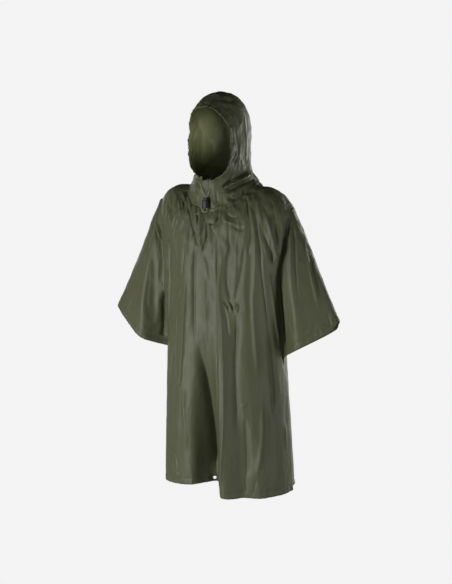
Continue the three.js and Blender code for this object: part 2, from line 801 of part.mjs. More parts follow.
// The drawcord is one cord with its two ends out at the throat, as two nodes.
// Both go down through the lock; one turns back in a loop, the other ends free.
const DRAWCORD_LEFT = [
  [6, -114.9, -12], [6, -117.4, -12.6], [5, -120.2, -20], [3, -124, -29], [1.2, -128, -36], [0.5, -129, -42],
  [0.5, -129, -60], [0.5, -129, -75], [2.4, -130.4, -81], [0.6, -132.6, -86.5], [-5, -134, -88.8],
  [-11, -134, -87], [-15.4, -133.4, -81], [-17.6, -132.4, -73], [-18.4, -131.6, -65],
];
const DRAWCORD_RIGHT = [
  [-29, -109.0, 5], [-29, -112, 4.4], [-26.6, -116, -5], [-20, -121.4, -18], [-12.6, -127.6, -30], [-9, -129, -38],
  [-8.5, -129, -44], [-8.5, -129, -60], [-8.5, -129, -75], [-10, -128.6, -80], [-17, -128.4, -86],
  [-28, -130.4, -92], [-40, -133.8, -98],
];

function cordMesh(name, points) {
  const curve = new THREE.CatmullRomCurve3(points.map((p) => new THREE.Vector3(...p)), false, 'centripetal');
  const steps = 2 * points.length;
  const rings = [];
  let up = new THREE.Vector3(1, 0, 0);
  for (let k = 0; k <= steps; k += 1) {
    const p = curve.getPointAt(k / steps);
    const along = curve.getTangentAt(k / steps);
    up.addScaledVector(along, -up.dot(along)).normalize();
    const across = new THREE.Vector3().crossVectors(along, up);
    const ring = [];
    for (let i = 0; i < 6; i += 1) {
      const a = 2 * Math.PI * i / 6;
      const q = p.clone().addScaledVector(up, CORD / 2 * Math.cos(a));
      ring.push(q.addScaledVector(across, CORD / 2 * Math.sin(a)));
    }
    rings.push(ring);
    up = up.clone();
  }
  return tubeMesh(name, rings, TRIM, false);
}

function solidOf(geometry) {
  const g = geometry.clone();
  g.deleteAttribute('normal');
  g.deleteAttribute('uv');
  const m = mergeVertices(g, 1e-4);
  const vertProperties = new Float32Array(m.getAttribute('position').array);
  const triVerts = new Uint32Array(m.getIndex().array);
  return new wasm.Manifold(new wasm.Mesh({ numProp: 3, vertProperties, triVerts }));
}

function geometryOf(solid) {
  const mesh = solid.getMesh();
  const geometry = new THREE.BufferGeometry();
  geometry.setAttribute('position', new THREE.BufferAttribute(new Float32Array(mesh.vertProperties), 3));
  geometry.setIndex(Array.from(mesh.triVerts));
  geometry.computeVertexNormals();
  return geometry;
}

// A rounded block standing on end, with the two cord holes through its length.
function lockBlock(name, width, depth, low, high) {
  const shape = new THREE.Shape();
  const r = depth / 2 - 1.2;
  const w = width / 2 - 1.2;
  shape.moveTo(-w + r, -r);
  shape.lineTo(w - r, -r);
  shape.absarc(w - r, 0, r, -Math.PI / 2, Math.PI / 2, false);
  shape.lineTo(-w + r, r);
  shape.absarc(-w + r, 0, r, Math.PI / 2, 1.5 * Math.PI, false);
  const body = new THREE.ExtrudeGeometry(shape, {
    depth: high - low - 2.4,
    curveSegments: 8,
    bevelThickness: 1.2,
    bevelSize: 1.2,
    bevelSegments: 2,
  });
  body.translate(LOCK.x, LOCK.y, low + 1.2);
  let solid = solidOf(body);
  for (const x of LOCK.holes) {
    const drill = new THREE.CylinderGeometry(LOCK.bore / 2, LOCK.bore / 2, 80, 12);
    drill.rotateX(Math.PI / 2);
    drill.translate(x, LOCK.y, (low + high) / 2);
    solid = solid.subtract(solidOf(drill));
  }
  return named(name, geometryOf(solid), PLASTIC);
}
const LOCK = { x: -4, y: -129, holes: [0.5, -8.5], bore: 3.8 };

function eyeletMesh(name) {
  const frame = holeFrame(front);
  const count = 24;
  const [low, high] = [0.4, 0.4 + EYELET_THICK];
  const rings = [];
  for (let k = 0; k < count; k += 1) {
    rings.push([[EYELET, high], [EYELET, low], [HOLE, low], [HOLE, high]].map(
      ([size, lift]) => holeRing(frame, size / 2, count, lift)[k],
    ));
  }
  const a = new THREE.Vector3().subVectors(rings[0][1], rings[0][0]);
  const b = new THREE.Vector3().subVectors(rings[1][0], rings[0][0]);
  const outward = new THREE.Vector3().subVectors(rings[0][0], frame.centre);
  if (a.cross(b).dot(outward) < 0) rings.forEach((ring) => ring.reverse());
  return tubeMesh(name, rings, METAL, true);
}

const poncho = new THREE.Group();
poncho.name = 'rain_poncho';
for (const piece of pieces) poncho.add(wallMesh(piece, shared));
poncho.add(channelMesh());
poncho.add(cordMesh('drawcord_left', DRAWCORD_LEFT));
poncho.add(cordMesh('drawcord_right', DRAWCORD_RIGHT));
poncho.add(lockBlock('cord_lock_body', 22, 14, -76, -49));
poncho.add(lockBlock('cord_lock_button', 17, 10, -48.6, -40));
poncho.add(eyeletMesh('hem_eyelet'));

export default poncho;
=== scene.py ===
import math

import bmesh
import bpy
import numpy as np
from mathutils import Matrix, Vector, noise


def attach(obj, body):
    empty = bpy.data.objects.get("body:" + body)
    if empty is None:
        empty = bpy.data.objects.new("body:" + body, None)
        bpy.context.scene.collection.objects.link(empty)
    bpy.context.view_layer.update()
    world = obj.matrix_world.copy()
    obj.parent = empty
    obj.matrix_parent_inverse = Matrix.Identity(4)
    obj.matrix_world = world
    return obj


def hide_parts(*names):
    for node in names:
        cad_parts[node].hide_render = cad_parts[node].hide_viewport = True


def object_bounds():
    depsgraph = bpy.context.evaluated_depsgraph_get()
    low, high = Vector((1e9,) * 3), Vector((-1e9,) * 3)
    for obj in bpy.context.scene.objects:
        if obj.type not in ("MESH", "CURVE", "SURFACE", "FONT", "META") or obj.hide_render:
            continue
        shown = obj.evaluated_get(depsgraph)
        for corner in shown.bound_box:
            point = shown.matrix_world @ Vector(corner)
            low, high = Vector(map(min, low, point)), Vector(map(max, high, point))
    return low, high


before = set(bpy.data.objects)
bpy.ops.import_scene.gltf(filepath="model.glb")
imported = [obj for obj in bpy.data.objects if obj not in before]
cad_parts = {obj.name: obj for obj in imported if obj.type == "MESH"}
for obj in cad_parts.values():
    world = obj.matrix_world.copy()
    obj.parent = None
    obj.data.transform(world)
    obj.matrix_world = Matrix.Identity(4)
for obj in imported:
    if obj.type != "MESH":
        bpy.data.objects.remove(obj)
cad_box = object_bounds()
scene = bpy.context.scene

# Viewpoint of the photograph: 27 degrees round to the garment's left side,
# 3.8 m away and slightly above its middle.

AZIMUTH = math.radians(27.0)
ELEVATION = math.radians(7.7)
DISTANCE = 3.8
METRES_PER_PIXEL = 0.0035
FOCAL_PIXELS = DISTANCE / METRES_PER_PIXEL
AIM = Vector((0.0, 0.0, -0.375))
AIM_SHIFT = 0.007
PHOTO_LONG_SIDE = 584
SENSOR = 36.0

level = Vector((math.cos(AZIMUTH), math.sin(AZIMUTH), 0.0))
backward = Vector((
    math.sin(AZIMUTH) * math.cos(ELEVATION),
    -math.cos(AZIMUTH) * math.cos(ELEVATION),
    math.sin(ELEVATION),
))
upward = backward.cross(level)
aim = AIM + AIM_SHIFT * level
camera_data = bpy.data.cameras.new("photo_camera")
camera_data.sensor_width = SENSOR
camera_data.lens = FOCAL_PIXELS * SENSOR / PHOTO_LONG_SIDE
camera_data.clip_end = 50.0
camera = bpy.data.objects.new("photo_camera", camera_data)
scene.collection.objects.link(camera)
camera.matrix_world = Matrix.Translation(aim + DISTANCE * backward) @ Matrix(
    (level, upward, backward)
).transposed().to_4x4()
scene.camera = camera

# The drawcord: one thin braided nylon cord, run in the channel round the face,
# with both ends out at the throat and down through the lock. One end turns back
# in a loop under the lock and the other hangs free; the ends are melted shut.

CORD_DIAMETER = 0.003
CORD_LEFT = [
    (6, -114.9, -12), (6, -117.4, -12.6), (5, -120.2, -20), (3, -124, -29), (1.2, -128, -36),
    (0.5, -129, -42), (0.5, -129, -60), (0.5, -129, -75), (2.4, -130.4, -81), (0.6, -132.6, -86.5),
    (-5, -134, -88.8), (-11, -134, -87), (-15.4, -133.4, -81), (-17.6, -132.4, -73),
    (-18.4, -131.6, -65),
]
CORD_RIGHT = [
    (-29, -109.0, 5), (-29, -112, 4.4), (-26.6, -116, -5), (-20, -121.4, -18), (-12.6, -127.6, -30),
    (-9, -129, -38), (-8.5, -129, -44), (-8.5, -129, -60), (-8.5, -129, -75), (-10, -128.6, -80),
    (-17, -128.4, -86), (-28, -130.4, -92), (-40, -133.8, -98),
]
CORD_AROUND = 12


def run_along(points):
    """Length of a line from its first point to each of its points."""
    return np.concatenate([[0], np.cumsum(np.linalg.norm(np.diff(points, axis=0), axis=1))])


def resampled(points, run, steps):
    """The places on a line at the given lengths along it."""
    return np.stack([np.interp(steps, run, points[:, i]) for i in range(3)], 1)


def cord_line(points, spacing=0.0012):
    """Points of a smooth line through the route, evenly spaced, in metres."""
    p = [Vector(q) * 0.001 for q in points]
    p = [2 * p[0] - p[1], *p, 2 * p[-1] - p[-2]]
    fine = []
    for k in range(1, len(p) - 2):
        a, b, c, d = p[k - 1 : k + 3]
        t0 = 0.0
        t1 = t0 + (b - a).length ** 0.5
        t2 = t1 + (c - b).length ** 0.5
        t3 = t2 + (d - c).length ** 0.5
        for s in range(16):
            t = t1 + (t2 - t1) * s / 16
            ab = (t1 - t) / (t1 - t0) * a + (t - t0) / (t1 - t0) * b
            bc = (t2 - t) / (t2 - t1) * b + (t - t1) / (t2 - t1) * c
            cd = (t3 - t) / (t3 - t2) * c + (t - t2) / (t3 - t2) * d
            abc = (t2 - t) / (t2 - t0) * ab + (t - t0) / (t2 - t0) * bc
            bcd = (t3 - t) / (t3 - t1) * bc + (t - t1) / (t3 - t1) * cd
            fine.append((t2 - t) / (t2 - t1) * abc + (t - t1) / (t2 - t1) * bcd)
    fine.append(p[-2])
    fine = np.array([tuple(q) for q in fine])
    run = run_along(fine)
    steps = np.linspace(0, run[-1], max(8, round(run[-1] / spacing)) + 1)
    return resampled(fine, run, steps), run[-1]


def cord_tube(name, line, radius, around=CORD_AROUND):
    """A tube along the line with rounded ends and a map of (turn, length)."""
    side = Vector((1.0, 0.0, 0.0))
    points = [Vector(p) for p in line]
    count = len(points)
    verts, faces, maps = [], [], []
    run = 0.0
    for k, p in enumerate(points):
        along = (points[min(count - 1, k + 1)] - points[max(0, k - 1)]).normalized()
        side = (side - along * side.dot(along)).normalized()
        other = along.cross(side)
        if k:
            run += (p - points[k - 1]).length
        end = min(k, count - 1 - k)
        size = radius * (0.55, 0.86, 1.0)[min(end, 2)]
        for i in range(around):
            a = 2 * math.pi * i / around
            verts.append(p + size * (math.cos(a) * side + math.sin(a) * other))
        maps.append(run)
    for k in range(count - 1):
        for i in range(around):
            n = (i + 1) % around
            faces.append((k * around + i, k * around + n, (k + 1) * around + n, (k + 1) * around + i))
    faces.append(tuple(reversed(range(around))))
    faces.append(tuple((count - 1) * around + i for i in range(around)))
    mesh = bpy.data.meshes.new(name)
    mesh.from_pydata(verts, [], faces)
    layer = mesh.uv_layers.new(name="along_cord")
    for face in mesh.polygons:
        low = min(mesh.loops[l].vertex_index % around for l in face.loop_indices)
        for l in face.loop_indices:
            v = mesh.loops[l].vertex_index
            turn = v % around
            if low == 0 and turn == around - 1 and len(face.vertices) == 4:
                turn = -1
            layer.data[l].uv = (turn / around, maps[v // around] / (2 * math.pi * radius))
    mesh.shade_smooth()
    return mesh


# Output 3 of a texture coordinate node is the place in the object's own frame. A
# mixing node has its two colours at inputs 6 and 7 and their mixture at output 2.

OBJECT_PLACE = 3
FIRST_COLOUR, SECOND_COLOUR, MIXED_COLOUR = 6, 7, 2


class Value:
    """A shader socket, so that sums and products on it become Math nodes."""

    def __init__(self, tree, socket):
        self.tree = tree
        self.socket = socket

    def node(self, kind, settings=None, out=0, **sockets):
        made = self.tree.nodes.new(kind)
        for name, value in (settings or {}).items():
            setattr(made, name, value)
        for name, value in sockets.items():
            socket = made.inputs[name.replace("_", " ")]
            if isinstance(value, Value):
                self.tree.links.new(value.socket, socket)
            else:
                socket.default_value = value
        return Value(self.tree, made.outputs[out])

    def math(self, operation, first, second=None):
        made = self.tree.nodes.new("ShaderNodeMath")
        made.operation = operation
        for index, value in enumerate((first, second)):
            if isinstance(value, Value):
                self.tree.links.new(value.socket, made.inputs[index])
            elif value is not None:
                made.inputs[index].default_value = value
        return Value(self.tree, made.outputs[0])

    def __add__(self, other):
        return self.math("ADD", self, other)

    def __sub__(self, other):
        return self.math("SUBTRACT", self, other)

    def __rsub__(self, other):
        return self.math("SUBTRACT", other, self)

    def __mul__(self, other):
        return self.math("MULTIPLY", self, other)

    def parts(self):
        """The three parts of a value that is a place or a direction."""
        split = self.tree.nodes.new("ShaderNodeSeparateXYZ")
        self.tree.links.new(self.socket, split.inputs[0])
        return [Value(self.tree, part) for part in split.outputs]

    def blend(self, first, second):
        """Colour that goes from first to second as this value goes from 0 to 1."""
        made = self.tree.nodes.new("ShaderNodeMix")
        made.data_type = "RGBA"
        self.tree.links.new(self.socket, made.inputs["Factor"])
        made.inputs[FIRST_COLOUR].default_value = (*first, 1.0)
        made.inputs[SECOND_COLOUR].default_value = (*second, 1.0)
        return Value(self.tree, made.outputs[MIXED_COLOUR])


def linear(red, green, blue):
    """The light values of a colour given as screen values from 0 to 255."""
    return tuple(((c / 255 + 0.055) / 1.055) ** 2.4 for c in (red, green, blue))


def new_material(name, **constants):
    """A material with its shader, whose unlinked sockets take the constants."""
    made = bpy.data.materials.new(name)
    made.use_nodes = True
    shader = made.node_tree.nodes["Principled BSDF"]
    for key, value in constants.items():
        shader.inputs[key.replace("_", " ")].default_value = value
    return made, shader


def plug(shader, **values):
    """Links each value to the shader's socket of that name."""
    for key, value in values.items():
        value.tree.links.new(value.socket, shader.inputs[key.replace("_", " ")])


BRAID_STRANDS = 4
BRAID_TURNS = 3.0


def braid_material():
    made, shader = new_material("braided_cord", Sheen_Weight=0.15, Sheen_Roughness=0.5)
    start = Value(made.node_tree, None)
    turn, run = start.node("ShaderNodeUVMap", {"uv_map": "along_cord"}).parts()[:2]
    one = start.math("SINE", (turn * BRAID_STRANDS + run * BRAID_TURNS) * (2 * math.pi))
    two = start.math("SINE", (turn * BRAID_STRANDS - run * BRAID_TURNS) * (2 * math.pi))
    height = start.math("MAXIMUM", one, two) * 0.5 + 0.5
    # The strands are painted darker in the grooves between them, as painted shade, and paler on their
    # crowns.
    shade = height.blend(linear(104, 106, 78), linear(158, 160, 128))
    bump = start.node("ShaderNodeBump", Strength=0.6, Distance=0.0003, Height=height)
    plug(shader, Base_Color=shade, Roughness=0.75 - height * 0.2, Normal=bump)
    return made


def add_piece(name, mesh, material, slot, *nodes):
    """Links a piece, gives it its material, and hides what it stands for; its slot is not used."""
    made = bpy.data.objects.new(name, mesh)
    scene.collection.objects.link(made)
    mesh.materials.clear()
    mesh.materials.append(material)
    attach(made, "root")
    if nodes:
        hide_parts(*nodes)
    return made


cord_look = braid_material()
cords = {}
for side, route in (("left", CORD_LEFT), ("right", CORD_RIGHT)):
    line, length = cord_line(route)
    mesh = cord_tube(f"drawcord_{side}_braid", line, CORD_DIAMETER / 2)
    piece = add_piece(f"drawcord_{side}_braid", mesh, cord_look, "cord", f"drawcord_{side}")
    cords[side] = (piece, line, length)

# The cord lock: a moulded plastic barrel with a spring button on top. Both cords
# pass through its two holes, and the spring grips them.

LOCK_NODES = ("cord_lock_body", "cord_lock_button")


def moulded_plastic(name, dark, light):
    made, shader = new_material(name, Specular_IOR_Level=0.2)
    start = Value(made.node_tree, None)
    place = start.node("ShaderNodeTexCoord", out=OBJECT_PLACE)
    grain = start.node("ShaderNodeTexNoise", Vector=place, Scale=900.0, Detail=3.0)
    cloud = start.node("ShaderNodeTexNoise", Vector=place, Scale=60.0, Detail=2.0)
    bump = start.node("ShaderNodeBump", Strength=0.25, Distance=0.0002, Height=grain)
    plug(shader, Base_Color=cloud.blend(dark, light), Roughness=cloud * 0.25 + 0.32, Normal=bump)
    return made


lock_look = moulded_plastic("lock_plastic", linear(20, 21, 28), linear(36, 38, 48))
for node in LOCK_NODES:
    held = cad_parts[node]
    held.data.materials.clear()
    held.data.materials.append(lock_look)
for side, (piece, line, length) in cords.items():
    [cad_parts[n] for n in LOCK_NODES] if side == "left" else []

# The front: one width of thin coated nylon, gathered into the neck seam, laid
# over both shoulders and left to hang. Its sections are tables by depth under
# the neck, in millimetres, and its folds are lines laid on it.

BODY = (
    ["depth", "front", "back", "left_x", "right_x", "front_seam", "back_seam", "turn"],
    [
        [190, 143, 126, 259, 216, -50, 60, 74],
        [250, 146, 130, 248, 206, -56, 70, 74],
        [330, 149, 136, 238, 201, -56, 72, 75],
        [430, 150, 142, 238, 203, -42, 56, 78],
        [520, 151, 148, 231, 205, -20, 36, 84],
        [600, 151, 154, 223, 208, 2, 14, 90],
        [720, 151, 168, 229, 212, 9, 11, 90],
        [880, 151, 190, 239, 219, 12, 14, 90],
        [1070, 151, 222, 249, 228, 15, 17, 90],
    ],
)
NECK = (
    ["angle", "height"],
    [[0, -84], [22, -73], [37, -58], [53, -43], [67, -27], [90, 6], [115, 12], [180, 10]],
)
NECK_X, NECK_Y = 120.0, 119.0
SHOULDER_LINE = (
    ["along", "left_x", "left_z", "right_x", "right_z", "y"],
    [
        [0, 120, 6, -120, 6, 0],
        [0.2, 150, 4, -149, 5, 2],
        [0.45, 184, -8, -182, 1, 4],
        [0.75, 222, -36, -220, -16, 6],
        [1, 250, -68, -248, -44, 8],
    ],
)
ARMHOLE = (
    ["along", "left_x", "right_x", "front_y", "back_y"],
    [[0, 250, 248, 8, 8], [0.35, 261, 240, -26, 36], [0.7, 263, 227, -44, 54], [1, 259, 216, -50, 60]],
)
FRONT_HEM = (
    ["across", "depth"],
    [
        [-1, 1058], [-0.85, 1062], [-0.6, 1058], [-0.3, 1046], [-0.1, 1038], [0.115, 1036],
        [0.15, 1064], [0.3, 1067], [0.7, 1066], [1, 1066],
    ],
)
FRONT_FOLDS = (
    ["top", "bottom", "start", "full", "end", "right", "left", "height"],
    [
        [-22, -38, 60, 330, 1500, 12, 11, 10],
        [3, 4, 400, 980, 1500, 12, 8, -80],
        [-9, -8, 620, 960, 1500, 5, 7, -16],
        [17, 17.5, 110, 900, 1500, 2.4, 12, 26],
        [44, 47, 60, 300, 1300, 9, 9, 9],
        [66, 78, 60, 300, 1300, 10, 10, 8],
        [34, 38, 560, 1000, 1500, 7, 8, -11],
        [56, 55, 600, 1000, 1500, 8, 9, 7],
        [-62, -66, 300, 700, 1500, 12, 12, 7],
        [-84, -84, 500, 900, 1500, 8, 8, -7],
    ],
)
# Creases that the photograph shows, each a line laid on the unfolded surface: its
# name, its width, its height (below 0 for a valley), the shares of it that fade in
# and out, and its points.
FRONT_CREASES = [
    ["shoulder crush a", 2.4, -5, 0.3, 0.3, [(64, -96, -35), (79, -88, -45), (92, -76, -42)]],
    ["shoulder crush b", 2.4, 5, 0.3, 0.3, [(59, -101, -48), (82, -93, -58), (104, -77, -48)]],
    ["yoke crush a", 2.6, -6, 0.3, 0.3, [(69, -121, -90), (89, -122, -103), (112, -117, -106)]],
    ["yoke crush b", 2.6, 6, 0.3, 0.3, [(59, -129, -107), (84, -128, -119), (115, -122, -125)]],
    ["yoke crush c", 2.6, -6, 0.3, 0.3, [(96, -129, -132), (123, -124, -142), (145, -117, -138)]],
    ["yoke crush d", 2.6, -6, 0.3, 0.3, [(-170, -78, -71), (-148, -96, -98), (-137, -109, -131)]],
    ["yoke crush e", 2.6, 6, 0.3, 0.3, [(-196, -62, -69), (-162, -93, -108), (-145, -109, -148)]],
    ["yoke crush f", 2.6, -6, 0.3, 0.3, [(-99, -71, -43), (-69, -105, -68), (-62, -124, -97)]],
    ["yoke crush g", 2.6, 6, 0.3, 0.3, [(-72, -92, -38), (-52, -106, -64), (-47, -123, -90)]],
    ["narrow by armhole", 3.5, -6, 0.3, 0.3, [
        (207, -58, -46), (222, -69, -85), (229, -76, -128), (231, -78, -154), (235, -77, -187),
        (237, -73, -224),
    ]],
    ["lit between", 9, 4, 0.3, 0.4, [(232, -49, -63), (244, -62, -128), (247, -66, -194)]],
    ["short slant", 3, -4, 0.3, 0.3, [
        (182, -75, -56), (199, -82, -85), (212, -83, -111), (220, -84, -138),
    ]],
    ["slant valley", 6, -10, 0.5, 0.12, [
        (173, -91, -85), (189, -100, -134), (196, -100, -157), (209, -96, -197), (219, -89, -230),
        (226, -80, -261),
    ]],
    ["tongue", 5.5, 8, 0.3, 0.08, [(190, -80, -72), (213, -88, -138), (226, -85, -190), (237, -72, -248)]],
    ["long valley", 4, -7, 0.2, 0.2, [
        (149, -82, -57), (162, -94, -86), (172, -103, -118), (182, -109, -177), (187, -107, -227),
        (190, -105, -277), (194, -101, -327), (199, -95, -385), (203, -87, -447), (206, -73, -517),
    ]],
    ["skirt valley left", 11, -12, 0.3, 0.2, [
        (206, -85, -447), (206, -69, -535), (210, -51, -659), (217, -49, -798),
    ]],
    ["ridge beside long valley", 4.5, 5, 0.2, 0.3, [
        (154, -66, -37), (178, -90, -85), (195, -101, -160), (206, -97, -217), (214, -89, -271),
    ]],
    ["ridge to side", 5, 7, 0.3, 0.3, [
        (206, -96, -250), (216, -84, -328), (222, -73, -397), (226, -57, -467), (226, -30, -539),
        (223, -6, -596),
    ]],
    ["pinch by seam", 2.5, -4.5, 0.2, 0.3, [
        (121, -66, -38), (134, -89, -63), (146, -104, -96), (156, -108, -118),
    ]],
    ["pinch ridge", 3, 4, 0.3, 0.3, [(144, -92, -70), (155, -102, -99), (161, -107, -118)]],
    ["hollow under pinch", 4, -5, 0.3, 0.3, [
        (152, -108, -112), (159, -114, -144), (159, -118, -177), (152, -121, -210), (155, -121, -237),
    ]],
    ["broad ridge left", 9, 10, 0.2, 0.3, [
        (158, -98, -92), (171, -112, -161), (174, -114, -227), (171, -114, -310), (167, -115, -378),
        (169, -109, -480), (171, -97, -584), (177, -93, -723),
    ]],
    ["v right arm", 5, -4.5, 0.25, 0.15, [
        (133, -125, -178), (137, -126, -211), (135, -128, -251), (127, -131, -304), (117, -134, -352),
        (112, -135, -386),
    ]],
    ["v left arm", 4.5, -7, 0.15, 0.1, [
        (85, -133, -149), (86, -136, -182), (90, -136, -208), (84, -139, -235), (81, -140, -272),
        (82, -142, -319), (89, -141, -356), (97, -139, -389),
    ]],
    ["v ridge", 5, 3.5, 0.3, 0.2, [
        (110, -131, -178), (113, -133, -245), (111, -135, -312), (104, -137, -372),
    ]],
    ["pucker a", 2.5, -7, 0.3, 0.3, [
        (65, -145, -379), (77, -143, -387), (87, -141, -403), (91, -140, -420),
    ]],
    ["pucker b", 2.4, -7, 0.3, 0.3, [
        (87, -141, -376), (97, -139, -393), (104, -137, -410), (111, -135, -426),
    ]],
    ["pucker c", 2.6, -6.5, 0.3, 0.3, [
        (107, -136, -389), (121, -133, -392), (124, -131, -406), (117, -133, -423),
    ]],
    ["pucker lip a", 2.2, 4, 0.3, 0.3, [(89, -141, -393), (96, -139, -406), (101, -138, -420)]],
    ["pucker lip b", 2, 4.5, 0.3, 0.3, [(112, -135, -394), (110, -136, -403), (107, -136, -413)]],
    ["under pucker", 4, -6, 0.2, 0.4, [
        (70, -144, -394), (80, -142, -431), (87, -141, -475), (94, -139, -522),
    ]],
    ["under pucker right", 9, -11, 0.15, 0.3, [
        (117, -133, -426), (113, -133, -498), (109, -132, -584), (109, -131, -687), (113, -131, -791),
        (120, -129, -896),
    ]],
    ["lit edge", 6, 8, 0.25, 0.05, [
        (64, -139, -179), (62, -142, -253), (58, -146, -330), (59, -146, -381), (67, -145, -448),
        (70, -144, -517), (73, -143, -585), (76, -142, -689), (76, -142, -793), (71, -144, -898),
        (64, -145, -987), (63, -146, -1033),
    ]],
    ["edge line", 2.2, -6, 0.15, 0.1, [
        (42, -140, -167), (47, -142, -213), (48, -145, -280), (49, -147, -381), (49, -148, -518),
        (48, -147, -656), (47, -148, -795),
    ]],
    ["trough", 12, -18, 0.35, 0.12, [
        (-27, -150, -506), (-19, -150, -575), (-11, -151, -644), (-4, -151, -730), (0, -151, -817),
        (4, -151, -905), (7, -151, -990),
    ]],
    ["trough bank line", 2.5, 3, 0.3, 0.3, [
        (36, -149, -684), (38, -149, -743), (40, -149, -813), (41, -149, -866),
    ]],
    ["lit ridge right", 4, 7, 0.3, 0.2, [
        (-66, -140, -246), (-67, -142, -338), (-69, -142, -390), (-74, -141, -459), (-79, -140, -530),
        (-84, -138, -583), (-93, -135, -672), (-101, -132, -745), (-106, -130, -835), (-112, -128, -908),
    ]],
    ["broad ridge right", 9, 6, 0.4, 0.2, [
        (-75, -141, -634), (-81, -139, -741), (-77, -141, -847), (-72, -142, -935),
    ]],
    ["band right", 5, -6, 0.2, 0.3, [
        (-34, -141, -176), (-37, -143, -234), (-39, -146, -302), (-39, -147, -387), (-39, -148, -490),
        (-31, -149, -552),
    ]],
    ["belly", 8, 4, 0.3, 0.3, [(-1, -146, -256), (1, -149, -333), (5, -150, -418), (9, -151, -503)]],
    ["low valley right", 4, -4, 0.3, 0.3, [
        (-75, -133, -151), (-76, -136, -195), (-79, -137, -236), (-83, -137, -281), (-87, -137, -329),
    ]],
    ["side ridge right", 2.5, 3.5, 0.3, 0.3, [
        (-138, -113, -539), (-147, -106, -594), (-154, -100, -656), (-158, -97, -715),
    ]],
    ["side soft", 4, 3, 0.3, 0.3, [
        (-117, -127, -395), (-119, -125, -483), (-124, -121, -571), (-128, -119, -661),
    ]],
    ["throat v left", 2.6, -7, 0.2, 0.1, [
        (-94, -93, -62), (-66, -125, -100), (-45, -138, -146), (-25, -143, -206),
    ]],
    ["throat v right", 2.4, -7, 0.25, 0.1, [
        (-6, -128, -95), (-6, -138, -128), (-13, -141, -165), (-23, -143, -206),
    ]],
    ["throat v lit", 4.5, 6, 0.2, 0.15, [(-52, -114, -77), (-33, -135, -116), (-26, -141, -169)]],
    ["yoke left a", 2.4, -6, 0.3, 0.3, [(-186, -48, -30), (-170, -72, -54), (-144, -96, -94)]],
    ["yoke left b", 2.2, 6, 0.3, 0.3, [
        (-199, -20, -12), (-145, -74, -47), (-110, -107, -92), (-97, -124, -132),
    ]],
    ["yoke left c", 2.4, -6, 0.3, 0.3, [(-156, -54, -20), (-117, -82, -53), (-85, -118, -98)]],
    ["yoke right a", 2.4, -7, 0.3, 0.3, [
        (6, -137, -121), (25, -138, -127), (39, -135, -117), (46, -127, -97),
    ]],
    ["yoke right b", 2.2, 6, 0.3, 0.3, [
        (-12, -118, -69), (16, -119, -82), (39, -113, -75), (60, -102, -58),
    ]],
    ["small pucker right", 2.2, -3.5, 0.3, 0.3, [(-87, -138, -353), (-94, -136, -371), (-102, -133, -393)]],
    ["mark", 2.2, -4.5, 0.3, 0.3, [(36, -149, -660), (27, -150, -671), (21, -150, -686)]],
    ["mark lip", 3, 3, 0.3, 0.3, [(1, -151, -656), (16, -151, -651), (31, -150, -652)]],
    ["hem hook", 3, -6, 0.3, 0.2, [
        (-177, -85, -920), (-147, -110, -932), (-128, -121, -948), (-117, -126, -971),
        (-113, -129, -999),
    ]],
    ["hem hook lip", 3, 5.5, 0.3, 0.25, [
        (-147, -110, -957), (-140, -115, -984), (-126, -123, -1007), (-102, -133, -1017),
    ]],
    ["hem corner dent", 3, -4, 0.3, 0.3, [(-167, -97, -1033), (-146, -112, -1039), (-123, -124, -1038)]],
    ["slant nick", 2.5, 3.5, 0.3, 0.3, [(127, -125, -749), (137, -119, -739), (149, -113, -732)]],
    ["hem slant", 2.5, -3.5, 0.3, 0.1, [(176, -101, -994), (171, -105, -1026), (168, -107, -1054)]],
    ["hem slant b", 3, -3.5, 0.3, 0.1, [(148, -117, -965), (145, -119, -1008), (149, -118, -1046)]],
    ["skirt valley mid", 8, -8, 0.3, 0.2, [(140, -118, -774), (147, -116, -878), (151, -116, -994)]],
    ["skirt ridge mid", 8, 9, 0.3, 0.2, [
        (187, -83, -707), (187, -86, -793), (187, -89, -862), (180, -97, -949), (175, -102, -994),
    ]],
    ["side ridge left", 4, 4, 0.3, 0.3, [(234, 5, -808), (241, 1, -931)]],
    ["right shoulder pinch", 3, -6, 0.3, 0.3, [
        (-180, -65, -51), (-178, -77, -79), (-175, -84, -99), (-166, -94, -119),
    ]],
    ["yoke patch dark", 3, -5, 0.3, 0.3, [
        (-129, -66, -36), (-123, -89, -63), (-127, -98, -83), (-136, -101, -100),
    ]],
    ["yoke patch lit", 5, 5, 0.3, 0.3, [(-138, -71, -43), (-142, -85, -67), (-149, -95, -94)]],
    ["yoke streak", 2.5, 5, 0.3, 0.3, [
        (-125, -102, -90), (-134, -104, -107), (-140, -107, -128), (-145, -109, -152),
    ]],
    ["yoke streak dark", 5, -5, 0.3, 0.3, [(-113, -107, -93), (-116, -115, -120), (-122, -118, -147)]],
    ["yoke slant", 4, -5, 0.3, 0.3, [
        (-113, -48, -27), (-105, -78, -49), (-106, -98, -72), (-109, -109, -96),
    ]],
    ["yoke thin", 2, 3, 0.3, 0.3, [(-105, -96, -69), (-106, -104, -82), (-107, -110, -96)]],
    ["yoke low dark", 3, -4, 0.3, 0.3, [(-85, -125, -118), (-92, -127, -142), (-97, -129, -166)]],
    ["ridge by band", 4, 5, 0.3, 0.3, [(-63, -130, -117), (-65, -137, -184), (-66, -140, -259)]],
    ["drop left", 2.6, -7, 0.2, 0.3, [
        (-39, -124, -90), (-26, -133, -109), (-29, -138, -136), (-41, -139, -160), (-48, -140, -184),
    ]],
    ["drop", 6, 11, 0.2, 0.12, [
        (-23, -117, -79), (-18, -134, -109), (-17, -140, -142), (-16, -142, -175), (-13, -144, -206),
    ]],
    ["drop right", 3, -8, 0.3, 0.15, [
        (-9, -126, -92), (2, -137, -121), (8, -141, -154), (5, -143, -185), (-4, -144, -205),
        (-11, -144, -221),
    ]],
    ["drop side lit", 4, 5, 0.3, 0.3, [(12, -136, -118), (18, -141, -154), (22, -143, -197)]],
